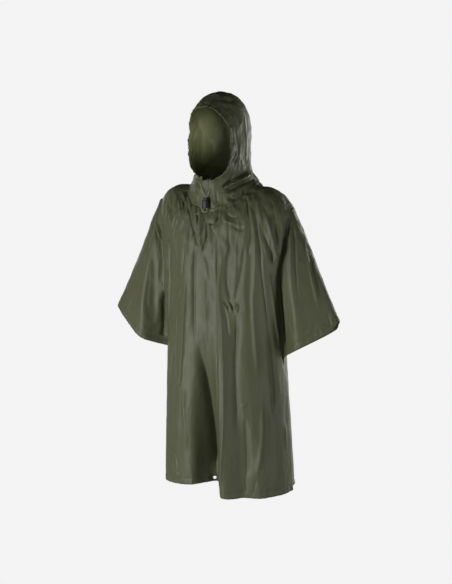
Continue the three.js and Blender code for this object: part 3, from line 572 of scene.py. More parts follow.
    ["drop side line", 2.2, -3, 0.3, 0.3, [(17, -136, -114), (30, -140, -150), (45, -140, -168)]],
    ["drop under", 4, 4, 0.3, 0.4, [(-7, -145, -232), (7, -147, -265), (15, -148, -315)]],
]
FIRST_SECTION = 190.0
UNDERARM = 590.0
SKIRT_END = 900.0
ARMHOLE_TOP = 55.0
FOLD_RUN_END = 1040
LAP = 26.0
# The shares of a panel's half width that lie under the neck and under a shoulder.
NECK_SHARE, SHOULDER_SHARE = 0.52, 0.48
YOKE_STEPS, CHEST_STEPS, SKIRT_STEPS, HEM_STEPS = 36, 80, 52, 32
SHOULDER_STEPS, FRONT_NECK_STEPS, BACK_NECK_STEPS = 44, 132, 96


def column(table, name, x):
    """A named column of a table at x, along its first column, without overshoot."""
    names, rows = table
    rows = np.asarray(rows, float)
    at, value = rows[:, 0], rows[:, names.index(name)]
    x = np.clip(np.asarray(x, float), at[0], at[-1])
    i = np.clip(np.searchsorted(at, x, side="right") - 1, 0, len(at) - 2)
    gap = np.diff(at)
    slope = np.diff(value) / gap
    tangent = np.empty(len(at))
    tangent[0], tangent[-1] = slope[0], slope[-1]
    a, b = slope[:-1], slope[1:]
    level_run = a * b <= 0
    tangent[1:-1] = np.where(level_run, 0, 2 * a * b / np.where(level_run, 1, a + b))
    f = (x - at[i]) / gap[i]
    f2, f3 = f * f, f * f * f
    return (
        (2 * f3 - 3 * f2 + 1) * value[i] + (f3 - 2 * f2 + f) * gap[i] * tangent[i]
        + (3 * f2 - 2 * f3) * value[i + 1] + (f3 - f2) * gap[i] * tangent[i + 1]
    )


def ease(a, b, x):
    f = np.clip((x - a) / (b - a), 0, 1)
    return f * f * (3 - 2 * f)


def mix(a, b, f):
    return a + (b - a) * f


def by_side(table, name, side, x):
    return np.where(side > 0, column(table, "left_" + name, x), column(table, "right_" + name, x))


def neck_point(angle):
    a = np.radians(angle)
    return np.stack([NECK_X * np.sin(a), -NECK_Y * np.cos(a), column(NECK, "height", np.abs(angle))], -1)


def body_point(face, depth, across):
    """A point of the section at that depth; across is from -1 to 1 between seams."""
    side = np.where(across < 0, -1.0, 1.0)
    seam_x = by_side(BODY, "x", side, depth)
    seam_y = column(BODY, "front_seam" if face < 0 else "back_seam", depth)
    reach = face * column(BODY, "front" if face < 0 else "back", depth)
    turn = np.radians(column(BODY, "turn", depth))
    a = np.abs(across) * turn
    x = side * seam_x * np.sin(a) / np.sin(turn)
    y = reach + (seam_y - reach) * (1 - np.cos(a)) / (1 - np.cos(turn))
    return np.stack([x, y, -depth + 0 * x], -1)


def top_point(face, across):
    """The neck seam between the shoulders, and the shoulder line outside it."""
    a = np.abs(across)
    side = np.where(across < 0, -1.0, 1.0)
    f = (a - NECK_SHARE) / SHOULDER_SHARE
    line = np.stack([
        by_side(SHOULDER_LINE, "x", side, f), column(SHOULDER_LINE, "y", f),
        by_side(SHOULDER_LINE, "z", side, f),
    ], -1)
    turn = 90 * across / NECK_SHARE
    angle = turn if face < 0 else 180 - turn
    angle = np.where(angle > 180, angle - 360, angle)
    return np.where((a > NECK_SHARE)[..., None], line, neck_point(angle))


def yoke_point(face, across, f):
    """Cloth from the neck and shoulder down to the first full section."""
    top = top_point(face, across)
    low = body_point(face, np.full_like(across, FIRST_SECTION), across)
    flat = (low - top) * (1, 1, 0)
    run = np.linalg.norm(flat, axis=-1)
    fall = top[..., 2] - low[..., 2]
    a = np.abs(across)
    lead = 0.5 if face < 0 else 0.35
    p1 = top + flat * 0.62
    p1[..., 1] += face * (8 + 12 * a)
    p1[..., 2] -= 0.1 * run + lead * 0.42 * fall * (1 - ease(0.2, 0.75, a))
    p2 = low.copy()
    p2[..., 2] += 0.42 * fall
    p2[..., 1] -= face * 3
    f = f[..., None]
    g = 1 - f
    p = top * g ** 3 + 3 * p1 * g * g * f + 3 * p2 * g * f * f + low * f ** 3
    f = f[..., 0]
    side = np.where(across < 0, -1.0, 1.0)
    arm = np.stack([
        side * by_side(ARMHOLE, "x", side, f),
        column(ARMHOLE, "front_y" if face < 0 else "back_y", f),
        mix(by_side(SHOULDER_LINE, "z", side, 1.0 + 0 * f), -FIRST_SECTION, f),
    ], -1)
    return mix(p, arm, ease(0.86, 1, a)[..., None])


def straight_folds(table, across, depth):
    """Height of the long folds; each runs from its top place to its bottom one."""
    names, rows = table
    total = np.zeros_like(across)
    for row in rows:
        r = dict(zip(names, row))
        f = np.clip((depth - r["start"]) / (min(r["end"], FOLD_RUN_END) - r["start"]), 0, 1)
        away = across - mix(r["top"], r["bottom"], f)
        spread = away / np.where(away < 0, r["right"], r["left"])
        rise = ease(r["start"], r["full"], depth) * (1 - ease(r["full"], r["end"], depth))
        inside = (depth > r["start"]) & (depth < r["end"])
        total += np.where(inside, r["height"] * rise * np.exp(-spread ** 2), 0)
    return total


def panel_columns(neck_steps):
    edge = np.linspace(0, 1, SHOULDER_STEPS, endpoint=False) * SHOULDER_SHARE
    middle = np.linspace(-NECK_SHARE, NECK_SHARE, neck_steps + 1)
    return np.concatenate([-1 + edge, middle, np.flip(1 - edge)])


def panel_grid(face, neck_steps, hem, folds):
    """Points of the front or the back, the folds on them, and their places across."""
    columns = panel_columns(neck_steps)
    down = np.arange(YOKE_STEPS + CHEST_STEPS + SKIRT_STEPS + HEM_STEPS + 1.0)
    across, row = np.meshgrid(columns, down)
    f = np.clip(row / YOKE_STEPS, 0, 1)
    chest = np.clip((row - YOKE_STEPS) / CHEST_STEPS, 0, 1)
    skirt = np.clip((row - YOKE_STEPS - CHEST_STEPS) / SKIRT_STEPS, 0, 1)
    last = np.clip((row - YOKE_STEPS - CHEST_STEPS - SKIRT_STEPS) / HEM_STEPS, 0, 1)
    depth = FIRST_SECTION + (UNDERARM - FIRST_SECTION) * chest + (SKIRT_END - UNDERARM) * skirt
    depth = depth + (column(hem, "depth", across) - SKIRT_END) * last
    yoke = row < YOKE_STEPS
    p = np.where(yoke[..., None], yoke_point(face, across, f), body_point(face, depth, across))
    depth = np.where(yoke, np.maximum(15, FIRST_SECTION * f), depth)
    edge = (1 - ease(0.9, 1, np.abs(across))) * ease(0, 4, row)
    out = np.stack([p[..., 0] * 0.45, p[..., 1] - 20 * face, 0 * row], -1)
    out /= np.linalg.norm(out, axis=-1, keepdims=True)
    out[..., 2] = np.where(yoke, 0.6 * (1 - f), 0)
    out /= np.linalg.norm(out, axis=-1, keepdims=True)
    high = straight_folds(folds, 100 * across, depth) * edge
    lap = ease(0.9, 1, np.abs(across)) * ease(UNDERARM, UNDERARM + 90, depth)
    p[..., 1] += (LAP if face < 0 else 0) * lap
    p[..., 0] += np.sign(across) * (3.0 if face < 0 else -3.0) * lap
    return p, out * high[..., None], across


def sheet_mesh(name, grid, turned, maps):
    """A mesh of a grid of points in millimetres, with a map in metres of cloth."""
    rows, cols = grid.shape[:2]
    faces = quads(rows, cols, turned)
    mesh = bpy.data.meshes.new(name)
    mesh.vertices.add(rows * cols)
    mesh.vertices.foreach_set("co", (grid * 0.001).astype(np.float32).ravel())
    mesh.loops.add(faces.size)
    mesh.loops.foreach_set("vertex_index", faces.ravel().astype(np.int32))
    mesh.polygons.add(len(faces))
    mesh.polygons.foreach_set("loop_start", np.arange(0, faces.size, 4, dtype=np.int32))
    mesh.update(calc_edges=True)
    layer = mesh.uv_layers.new(name="cloth")
    layer.data.foreach_set("uv", maps.reshape(-1, 2)[faces.ravel()].astype(np.float32).ravel())
    mesh.validate()
    mesh.shade_smooth()
    return mesh


front, front_lift, front_across = panel_grid(-1, FRONT_NECK_STEPS, FRONT_HEM, FRONT_FOLDS)

# The back: the same cloth behind, longer in the middle than at its sides, with
# plain hanging folds from the shoulders.

BACK_HEM = (
    ["across", "depth"],
    [[-1, 1070], [-0.5, 1078], [0, 1082], [0.5, 1074], [1, 1052]],
)
BACK_FOLDS = (
    ["top", "bottom", "start", "full", "end", "right", "left", "height"],
    [
        [-84, -86, 60, 420, 1000, 9, 9, 8],
        [-68, -72, 40, 500, 1300, 8, 6, -10],
        [-52, -55, 30, 520, 1500, 9, 7, 13],
        [-38, -38, 30, 460, 1500, 6, 8, -13],
        [-24, -22, 30, 600, 1500, 9, 7, 15],
        [-10, -8, 60, 520, 1500, 6, 8, -13],
        [4, 6, 30, 460, 1500, 8, 6, 13],
        [18, 20, 40, 600, 1500, 6, 9, -14],
        [32, 36, 30, 560, 1500, 8, 7, 14],
        [47, 52, 30, 500, 1500, 7, 6, -12],
        [62, 68, 40, 560, 1500, 9, 7, 12],
        [78, 84, 60, 460, 1100, 6, 8, -8],
        [8, 8, 760, 1060, 1500, 16, 12, 10],
        [-46, -46, 760, 1060, 1500, 14, 12, 9],
    ],
)
back, back_lift, back_across = panel_grid(1, BACK_NECK_STEPS, BACK_HEM, BACK_FOLDS)

# The sleeves: the cloth beside each shoulder, folded over the arm. Each is a fan
# of U-shaped sections from the top of the armhole down to the open cuff.

SLEEVE = (
    ["along", "left_x", "left_z", "right_x", "right_z", "y", "half", "swell"],
    [
        [0, 250, -68, -248, -44, 8, 4, 0],
        [0.08, 262, -92, -262, -76, 6, 20, 2],
        [0.2, 282, -128, -283, -126, 4, 38, 10],
        [0.35, 313, -190, -303, -178, 0, 50, 20],
        [0.55, 351, -270, -339, -260, -4, 56, 24],
        [0.78, 397, -368, -385, -358, -8, 56, 22],
        [1, 435, -446, -430, -444, -10, 52, 16],
    ],
)
SLEEVE_FOLDS = [
    [1, 14, 10, 0.1, 0.5, 1.1, 10, 7],
    [1, 48, 46, 0.2, 0.7, 1.3, 11, 7],
    [-1, 16, 12, 0.1, 0.4, 0.8, 9, 6],
    [-1, 36, 20, 0.2, 0.75, 1.3, 12, -16],
    [-1, 52, 48, 0.15, 0.6, 1.3, 11, 8],
]
SLEEVE_CREASES = [
    ["left armhole", 8, -15, 0.2, 0.1, [
        (249, -9, -64), (260, -37, -119), (259, -50, -165), (253, -55, -218), (243, -58, -272),
        (239, -56, -320), (238, -52, -381), (238, -38, -451), (238, -20, -523), (236, -7, -567),
    ]],
    ["right armhole slant", 4, -8, 0.35, 0.1, [
        (-245, -16, -83), (-220, -48, -116), (-194, -77, -145), (-173, -95, -171), (-157, -106, -201),
    ]],
    ["right slant two", 2.5, -3, 0.3, 0.3, [(-245, -31, -122), (-226, -47, -162), (-210, -60, -189)]],
    ["right slant lip", 2.5, 4, 0.3, 0.1, [
        (-227, -40, -103), (-190, -81, -145), (-166, -101, -184), (-160, -105, -215),
    ]],
    ["right slant lip two", 3, 4, 0.3, 0.1, [
        (-255, -24, -115), (-238, -47, -163), (-219, -52, -197), (-167, -100, -219),
    ]],
    ["right armhole", 6, -12, 0.1, 0.05, [
        (-157, -106, -201), (-156, -107, -242), (-158, -105, -295), (-160, -104, -348),
        (-166, -96, -402), (-176, -83, -475), (-222, -5, -578),
    ]],
    ["right pocket upper", 5, -8, 0.3, 0.3, [(-174, -95, -237), (-181, -87, -273), (-192, -72, -314)]],
    ["right pocket", 7, -16, 0.12, 0.05, [
        (-206, -52, -374), (-214, -44, -430), (-222, -33, -486), (-234, -21, -547),
    ]],
    ["right pocket lip", 3, 5, 0.3, 0.3, [(-231, -62, -342), (-217, -58, -354), (-171, -95, -353)]],
    ["left sleeve dark a", 4, -6, 0.3, 0.1, [
        (255, 3, -68), (269, -20, -113), (283, -42, -178), (294, -57, -250), (303, -66, -308),
        (314, -72, -367), (320, -72, -397),
    ]],
    ["left sleeve lit a", 4, 4, 0.3, 0.3, [
        (267, -39, -139), (283, -65, -243), (297, -79, -341), (305, -81, -390),
    ]],
    ["left sleeve dark b", 4, -5, 0.3, 0.3, [
        (322, -14, -212), (337, -22, -251), (351, -30, -293), (363, -32, -325), (377, -35, -371),
    ]],
    ["left sleeve lit b", 4, 5, 0.3, 0.3, [
        (299, -5, -164), (329, -31, -250), (348, -39, -309), (368, -43, -374), (387, -43, -433),
    ]],
    ["left sleeve dark c", 4, -5, 0.3, 0.2, [
        (262, -64, -361), (267, -58, -419), (285, -65, -461), (301, -77, -485), (308, -77, -505),
    ]],
    ["left sleeve lit c", 2.5, 4, 0.3, 0.3, [(267, -49, -482), (286, -62, -495), (304, -74, -519)]],
    ["left cuff nick", 2, -3, 0.3, 0.3, [(390, -43, -446), (398, -40, -451), (406, -37, -456)]],
    ["left cuff roll", 3, 2.5, 0.3, 0.3, [(331, -71, -477), (357, -56, -467), (388, -46, -456)]],
    ["left corner a", 2.5, -4, 0.3, 0.2, [(397, -33, -413), (408, -33, -440), (412, -35, -466)]],
    ["left corner b", 2.2, 3, 0.3, 0.2, [(407, -23, -401), (415, -26, -430), (421, -30, -456)]],
    ["right sleeve lit", 6, 7, 0.2, 0.2, [
        (-254, -33, -136), (-241, -56, -198), (-236, -63, -275), (-234, -63, -321), (-247, -56, -394),
        (-258, -56, -456),
    ]],
    ["right sleeve fan", 9, 12, 0.3, 0.1, [(-234, -57, -383), (-245, -50, -442), (-254, -46, -501)]],
    ["right sleeve dark", 6, -6, 0.3, 0.2, [
        (-259, -75, -275), (-264, -78, -339), (-271, -76, -411), (-272, -65, -488),
    ]],
    ["right sleeve lit b", 3, 3.5, 0.3, 0.2, [(-341, -46, -365), (-352, -49, -413), (-363, -49, -446)]],
    ["right sleeve dark b", 3, -3, 0.3, 0.3, [(-324, -53, -374), (-318, -64, -409), (-313, -71, -443)]],
    ["right sleeve lit c", 2.5, 3.5, 0.3, 0.3, [(-291, -80, -405), (-295, -80, -434), (-299, -79, -467)]],
    ["right cuff nick a", 2.2, -4, 0.3, 0.3, [(-318, -71, -484), (-307, -75, -497), (-304, -75, -515)]],
    ["right cuff nick b", 2.2, 3.5, 0.3, 0.3, [(-293, -78, -484), (-287, -75, -503), (-284, -70, -521)]],
]
CUFF = (
    ["place", "left", "right"],
    [[0, 0, 0], [0.25, 5, 14], [0.5, 12, 20], [0.75, 18, 10], [0.9, 20, 4], [1, 0, 0]],
)
SLEEVE_STEPS = 120


def sleeve_grid(side, front_seam, back_seam):
    rows = len(front_seam)
    row = np.arange(rows)[:, None] + np.zeros(SLEEVE_STEPS + 1)
    depth = np.where(
        row < YOKE_STEPS, mix(ARMHOLE_TOP, FIRST_SECTION, row / YOKE_STEPS),
        mix(FIRST_SECTION, UNDERARM, (row - YOKE_STEPS) / CHEST_STEPS),
    )
    along = (depth - ARMHOLE_TOP) / (UNDERARM - ARMHOLE_TOP)
    s = np.linspace(-1, 1, SLEEVE_STEPS + 1) + 0 * row
    face = np.where(s < 0, -1.0, 1.0)
    seam = np.where((s < 0)[..., None], front_seam[:, None], back_seam[:, None])
    name = "left_" if side > 0 else "right_"
    edge = np.stack([
        column(SLEEVE, name + "x", along), column(SLEEVE, "y", along), column(SLEEVE, name + "z", along),
    ], -1)
    a = np.abs(s) * np.pi / 2
    q = np.cos(a)
    p = mix(edge, seam, (1 - q)[..., None])
    thick = column(SLEEVE, "half", along) + column(SLEEVE, "swell", along) * np.sin(a) ** 2
    keep = ease(0.72, 1, np.abs(s))
    p[..., 1] = edge[..., 1] + mix(face * thick * np.sin(a) ** 0.85, seam[..., 1] - edge[..., 1], keep)
    high = np.zeros_like(s)
    for where, top, bottom, start, full, end, width, height in SLEEVE_FOLDS:
        part = (s < 0) if where * side > 0 else np.zeros_like(s, bool)
        spread = (100 * q - mix(top, bottom, along)) / width
        rise = ease(start, full, along) * (1 - ease(full, end, along))
        high += np.where(part, height * rise * np.exp(-spread ** 2), 0)
    lift = np.zeros_like(p)
    lift[..., 1] = face * high * (1 - keep) * (np.abs(s) < 1)
    lift[0] = 0
    p[..., 2] -= column(CUFF, name[:-1], q) * ease(0.55, 1, along)
    p[0] = seam[0]
    return p, lift, s


sleeve_rows = YOKE_STEPS + CHEST_STEPS + 1
sleeves = {}
for side, at in ((1, -1), (-1, 0)):
    sleeves[side] = sleeve_grid(side, front[:sleeve_rows, at], back[:sleeve_rows, at])

# The hood: two halves joined over the crown, cut long so that the face opening
# stands open, and sewn to the neck edge of the body.

HOOD = (
    ["along", "edge_x", "edge_y", "edge_z", "side_x", "side_y", "side_z", "back_y", "back_z"],
    [
        [0, 0, -119, -84, 120, 0, 6, 119, 10],
        [0.06, 0, -117, -52, 113, 1, 19, 105, 22],
        [0.12, 0, -115, -18, 105, 3, 33, 92, 34],
        [0.17, 0, -113, 14, 99, 5, 45, 84, 45],
        [0.22, 28, -111, 19, 95, 6, 57, 80, 55],
        [0.28, 48, -107, 30, 93, 6, 71, 78, 67],
        [0.35, 65, -103, 48, 93, 5, 89, 78, 81],
        [0.43, 76, -99, 75, 94, 3, 110, 79, 96],
        [0.52, 82, -96, 108, 95, 1, 136, 80, 112],
        [0.61, 83, -96, 146, 96, -2, 165, 81, 128],
        [0.70, 79, -100, 184, 96, -6, 199, 82, 143],
        [0.78, 70, -106, 214, 92, -11, 231, 82, 156],
        [0.85, 55, -113, 238, 82, -17, 261, 82, 168],
        [0.91, 37, -118, 253, 64, -22, 287, 82, 178],
        [0.96, 18, -121, 262, 40, -25, 305, 82, 186],
        [1, 0, -122, 266, 0, -26, 315, 82, 192],
    ],
)
HOOD_CREASES = [
    ["collar ridge", 2.6, 9, 0.15, 0.15, [(45, -103, -10), (72, -82, 5), (92, -47, 21), (103, 0, 35)]],
    ["collar fold above", 5, -13, 0.3, 0.2, [(56, -95, 2), (75, -73, 20), (89, -40, 36), (95, -7, 49)]],
    ["collar fold below", 5, -12, 0.25, 0.1, [(55, -100, -20), (81, -76, -8), (102, -36, 9), (112, 14, 21)]],
    ["hood side streak", 3.5, -5, 0.3, 0.3, [(79, -65, 52), (86, -65, 92), (89, -64, 132), (89, -64, 165)]],
    ["hood side nick a", 2.4, -4.5, 0.3, 0.3, [(78, -79, 62), (83, -74, 82), (87, -67, 102)]],
    ["hood side nick b", 2.4, -4.5, 0.3, 0.3, [(78, -93, 75), (84, -83, 98), (87, -74, 122)]],
    ["hood side nick c", 2.4, 4, 0.3, 0.3, [(80, -75, 65), (85, -69, 85), (89, -57, 112)]],
    ["brow valley", 4, -6, 0.3, 0.3, [(12, -96, 284), (35, -83, 285), (56, -65, 281), (72, -52, 268)]],
    ["brow lip", 3, 5, 0.3, 0.3, [(-12, -80, 295), (7, -73, 299), (27, -68, 298)]],
    ["temple", 3, -5, 0.3, 0.3, [(54, -90, 263), (69, -76, 254), (82, -64, 234), (89, -57, 204)]],
    ["temple lip", 3, 5, 0.3, 0.3, [(48, -107, 253), (64, -96, 240), (76, -89, 220)]],
    ["chin crush a", 2.2, -5, 0.3, 0.3, [(-85, 80, 15), (23, -110, 9), (20, -112, -5)]],
    ["chin crush b", 2.2, 5, 0.3, 0.3, [(-73, 88, 17), (36, -106, 9), (30, -110, -8)]],
    ["chin crush c", 2.2, -5, 0.3, 0.3, [(-58, 91, 22), (45, -100, 15), (41, -105, -1)]],
    ["chin crush d", 2.2, -5, 0.3, 0.3, [(-62, -88, 17), (-42, -104, 4), (-22, -112, -6)]],
    ["chin crush e", 2.2, 5, 0.3, 0.3, [(-75, -78, 6), (-52, -99, -6), (-31, -110, -16)]],
    ["throat curve", 2.6, -6, 0.2, 0.15, [
        (42, -110, -61), (43, -120, -84), (45, -131, -107), (40, -137, -127), (32, -139, -140),
    ]],
    ["throat curve end", 2.5, 5, 0.3, 0.3, [(32, -140, -147), (42, -138, -138), (51, -136, -130)]],
    ["collar fold a", 5, -13, 0.25, 0.3, [(44, -104, -8), (56, -95, 5), (66, -84, 18), (72, -70, 35)]],
    ["collar fold b", 4.5, -12, 0.2, 0.2, [(47, -103, -13), (70, -86, -5), (91, -59, 5), (105, -26, 16)]],
    ["collar crease", 3, 7, 0.2, 0.2, [(48, -102, -10), (67, -87, 2), (85, -63, 15), (97, -34, 24)]],
    ["collar thin", 2, -3, 0.3, 0.3, [(33, -109, -18), (52, -101, -21), (71, -87, -15), (88, -68, -8)]],
    ["collar lit", 4, 4, 0.3, 0.3, [(59, -100, -35), (77, -85, -25), (89, -71, -18)]],
    ["collar hollow", 5, -4, 0.3, 0.3, [(27, -112, -21), (31, -112, -41), (35, -113, -61)]],
    ["throat line", 1.8, -2.5, 0.3, 0.3, [
        (-100, -54, -12), (-72, -84, -4), (-41, -105, -4), (-27, -111, -9),
    ]],
    ["throat lit", 3, 3, 0.3, 0.3, [(-63, -94, -17), (-50, -104, -30), (-39, -110, -43)]],
    ["hood brow dark", 3.2, -4.5, 0.3, 0.3, [
        (-33, -98, 274), (5, -120, 266), (31, -118, 258), (51, -114, 243), (69, -105, 220),
    ]],
    ["hood crown hollow", 7, -6, 0.3, 0.3, [(23, -82, 290), (49, -65, 287), (70, -47, 274)]],
    ["hood crown lit", 4, 3, 0.3, 0.3, [(35, -104, 268), (44, -93, 270), (57, -81, 267)]],
    ["hood side dark", 5, -4, 0.3, 0.3, [(88, -54, 92), (87, -43, 65), (88, -41, 38)]],
    ["hood side lit", 6, 2, 0.2, 0.2, [(87, -30, 245), (95, -29, 202), (94, -21, 135), (92, -15, 68)]],
    ["hood face soft", 5, -3, 0.3, 0.3, [(82, -87, 191), (87, -75, 151), (88, -68, 112)]],
]
# The edge of the hood at the brow lies lower on the left and higher on the right.
BROW_DROP = 6.5
BROW_RISE = 13.0
CHIN = 0.17
HOOD_LOW_STEPS, HOOD_HIGH_STEPS = 26, 104


def hood_point(side, along, a):
    g = {name: column(HOOD, name, along) for name in HOOD[0][1:]}
    brow = ease(0.62, 0.84, along) * (1 - ease(0.86, 1, along))
    g["edge_z"] = g["edge_z"] + (-BROW_DROP if side > 0 else BROW_RISE) * brow
    t = np.radians(np.where(a < 90, a, a - 90))
    sin, cos = np.sin(t), np.cos(t)
    back_share = mix(1 - cos, a / 90, ease(0.14, 0.32, along))
    rise = mix(1 - cos, sin, ease(0.3, 0.8, along))
    ahead = np.stack([
        side * mix(g["edge_x"], g["side_x"], sin),
        mix(g["edge_y"], g["side_y"], back_share),
        mix(g["edge_z"], g["side_z"], rise),
    ], -1)
    behind = np.stack([
        side * g["side_x"] * cos,
        mix(g["side_y"], g["back_y"], sin),
        mix(g["back_z"], g["side_z"], cos),
    ], -1)
    return np.where((a < 90)[..., None], ahead, behind)


def hood_grid(side):
    half, rear = FRONT_NECK_STEPS // 2, BACK_NECK_STEPS // 2
    angles = np.concatenate([90 * np.arange(half) / half, 90 + 90 * np.arange(rear + 1) / rear])
    places = np.concatenate([
        np.linspace(0, CHIN, HOOD_LOW_STEPS, endpoint=False),
        CHIN + (1 - CHIN) * np.linspace(0, 1, HOOD_HIGH_STEPS + 1),
    ])
    a, along = np.meshgrid(angles, places)
    p = hood_point(side, along, a)
    shift = neck_point(side * angles) - hood_point(side, np.zeros_like(angles), angles)
    away = 1 - ease(0, 0.24, along)
    return p + away[..., None] * shift[None], a, along


hoods = {side: hood_grid(side) for side in (1, -1)}

# All cloth is one fabric: thin coated nylon with a fine plain weave, satin outside
# and paler inside. The paler inside is partly its coating's own colour and partly
# painted light, standing in for light that shines through the thin cloth. Its pieces
# are joined in the script while the seams are eased, gathered and creased, and then
# each is a thin sheet of its own.

CLOTH_THICK = 0.0007
RELAX_STEPS = 60
RELAX_SHARE = 0.6
HEM_WIDTH = 22.0
HEM_GROOVE, HEM_GROOVE_WIDTH = 1.5, 3.0
GATHER_REACH = 0.62
NECK_GATHERS = 74
FACE_PUCKERS = 46
HEM_PUCKERS = 70
GRAVITY_STRETCH = (1.0, 1.0, 0.36)
CRUSH_STRETCH = (1.0, 0.8, 0.75)
grids = {
    "front": (front, front_lift),
    "back": (back, back_lift),
    "sleeve_left": sleeves[1][:2],
    "sleeve_right": sleeves[-1][:2],
    "hood_left": (hoods[1][0], np.zeros_like(hoods[1][0])),
    "hood_right": (hoods[-1][0], np.zeros_like(hoods[-1][0])),
}
TURNED = {"front": True, "back": False, "sleeve_left": True, "sleeve_right": False,
          "hood_left": False, "hood_right": True}


def quads(rows, cols, turned, first=0):
    index = first + np.arange(rows * cols).reshape(rows, cols)
    corners = (index[:-1, :-1], index[:-1, 1:], index[1:, 1:], index[1:, :-1])
    if turned:
        corners = corners[::-1]
    return np.stack([c.ravel() for c in corners], 1)


def join_pieces():
    """One number for each place of the cloth, shared where pieces are sewn."""
    points = np.concatenate([g.reshape(-1, 3) for g, lift in grids.values()])
    keys = np.round((points + 0.0137) / 0.05).astype(np.int64)
    first, number = np.unique(keys, axis=0, return_index=True, return_inverse=True)[1:]
    number = number.ravel()
    faces, starts, at = [], {}, 0
    for name, (grid, lift) in grids.items():
        rows, cols = grid.shape[:2]
        faces.append(quads(rows, cols, TURNED[name], at))
        starts[name] = at
        at += rows * cols
    return points[first], number, number[np.concatenate(faces)], starts


def joined_means(values):
    """Means on the joined places of a value given for the points of each piece."""
    total = np.bincount(number, np.concatenate([value.ravel() for value in values]), count)
    return total / np.maximum(np.bincount(number, None, count), 1)


def point_normals(points, faces):
    a, b, c, d = (points[faces[:, i]] for i in range(4))
    face = np.cross(c - a, d - b)
    normal = np.stack([
        np.bincount(faces.ravel(), np.repeat(face[:, i], 4), len(points)) for i in range(3)
    ], 1)
    return normal / np.maximum(np.linalg.norm(normal, axis=1, keepdims=True), 1e-9)


def relaxed(points, faces, weight, steps):
    """Points drawn towards the middle of their neighbours, by their weight."""
    links = np.concatenate([faces[:, [i, (i + 1) % 4]] for i in range(4)])
    links = np.unique(np.sort(links, axis=1), axis=0)
    ends = np.concatenate([links, links[:, ::-1]])
    share = np.bincount(ends[:, 0], None, len(points))
    weight = weight[:, None]
    for step in range(steps):
        middle = np.stack([
            np.bincount(ends[:, 0], points[ends[:, 1], i], len(points)) for i in range(3)
        ], 1) / np.maximum(share, 1)[:, None]
        points = points + (middle - points) * RELAX_SHARE * weight
    return points


def smooth_line(points, spacing=4.0):
    return cord_line(points, spacing * 0.001)[0] * 1000


def crease_heights(table, points):
    """Height of the drawn creases at each point, by its distance from each line."""
    total = np.zeros(len(points))
    for name, width, height, fade_in, fade_out, line in table:
        line = smooth_line(line)
        reach = 2.6 * width
        low, high = line.min(0) - reach, line.max(0) + reach
        near = np.where(((points > low) & (points < high)).all(1))[0]
        if not len(near):
            continue
        start, step = line[:-1], np.diff(line, axis=0)
        best = np.full(len(near), 1e9)
        place = np.zeros(len(near))
        for k in range(len(step)):
            away = points[near] - start[k]
            f = np.clip(away @ step[k] / (step[k] @ step[k]), 0, 1)
            far = np.linalg.norm(away - f[:, None] * step[k], axis=1)
            closer = far < best
            best = np.where(closer, far, best)
            place = np.where(closer, (k + f) / len(step), place)
        rise = ease(0, fade_in, place) * (1 - ease(1 - fade_out, 1, place))
        total[near] += height * rise * np.exp(-(best / width) ** 1.4)
    return total


def crumple_heights(points, scale, seed, stretch):
    """Small sharp-edged dents of cloth that has been packed, from -1 to 1."""
    shift = Vector((seed * 3.7, seed * 1.9, seed * 2.3))
    out = np.empty(len(points))
    for k, (x, y, z) in enumerate(points.tolist()):
        value = noise.noise(Vector((x * stretch[0], y * stretch[1], z * stretch[2])) / scale + shift)
        out[k] = 1 - 2.6 * abs(value)
    return out


def seeded_rows(seed, count, **ranges):
    chance = np.random.default_rng(seed)
    rows = {name: chance.uniform(*span, count) for name, span in ranges.items()}
    rows["sign"] = np.where(np.arange(count) % 2 == 0, 1.0, -0.9)
    return rows


def pleated(total, rows, gap, fade):
    """The total with a row of pleats on it, each by its gap from every point."""
    for k in range(len(rows["sign"])):
        row = {name: values[k] for name, values in rows.items()}
        spread = gap(row) / row["width"]
        total = total + row["sign"] * row["height"] * fade(row) * np.exp(-spread ** 2)
    return total


def gather_heights(face, across, points):
    """Pleats that start at the neck seam and run out into the panel."""
    angle = np.degrees(np.arctan2(points[..., 0] / NECK_X, -points[..., 1] / NECK_Y))
    run = np.linalg.norm(points - top_point(face, across), axis=-1)
    rows = seeded_rows(11 if face < 0 else 12, NECK_GATHERS, angle=(-180, 180), width=(1.6, 3.4),
                       height=(0.6, 2.2), length=(45, 170), lean=(-0.03, 0.03))
    return (np.abs(across) < GATHER_REACH) * pleated(
        np.zeros_like(across), rows,
        lambda row: (angle - row["angle"] - row["lean"] * run + 180) % 360 - 180,
        lambda row: ease(0, 10, run) * (1 - ease(0.35 * row["length"], row["length"], run)),
    )


def face_puckers(side, angle, along):
    """Short pleats where the hood is drawn in by its channel, and at its neck."""
    rows = seeded_rows(21 + side, FACE_PUCKERS, place=(CHIN, 1.0), width=(0.006, 0.013),
                       height=(0.5, 1.9), reach=(7, 26), lean=(-0.0015, 0.0015))
    total = pleated(
        np.zeros_like(angle), rows,
        lambda row: along - row["place"] - row["lean"] * angle,
        lambda row: 1 - ease(0.2 * row["reach"], row["reach"], angle),
    )
    rows = seeded_rows(31 + side, FACE_PUCKERS, place=(8, 176), width=(2.0, 4.0),
                       height=(0.8, 2.6), reach=(0.06, 0.2), lean=(-40, 40))
    return pleated(
        total, rows,
        lambda row: angle - row["place"] - row["lean"] * along,
        lambda row: ease(0, 0.02, along) * (1 - ease(0.3 * row["reach"], row["reach"], along)),
    )


def edge_puckers(seed, place, above):
    """Small waves along a sewn edge, by the place along it and the height above it."""
    rows = seeded_rows(seed, HEM_PUCKERS, place=(-1, 1), width=(0.006, 0.016), height=(0.5, 1.9),
                       reach=(16, 52), lean=(-0.0004, 0.0004))
    return pleated(
        np.zeros_like(place), rows,
        lambda row: place - row["place"] - row["lean"] * above,
        lambda row: 1 - ease(0.3 * row["reach"], row["reach"], above),
    )


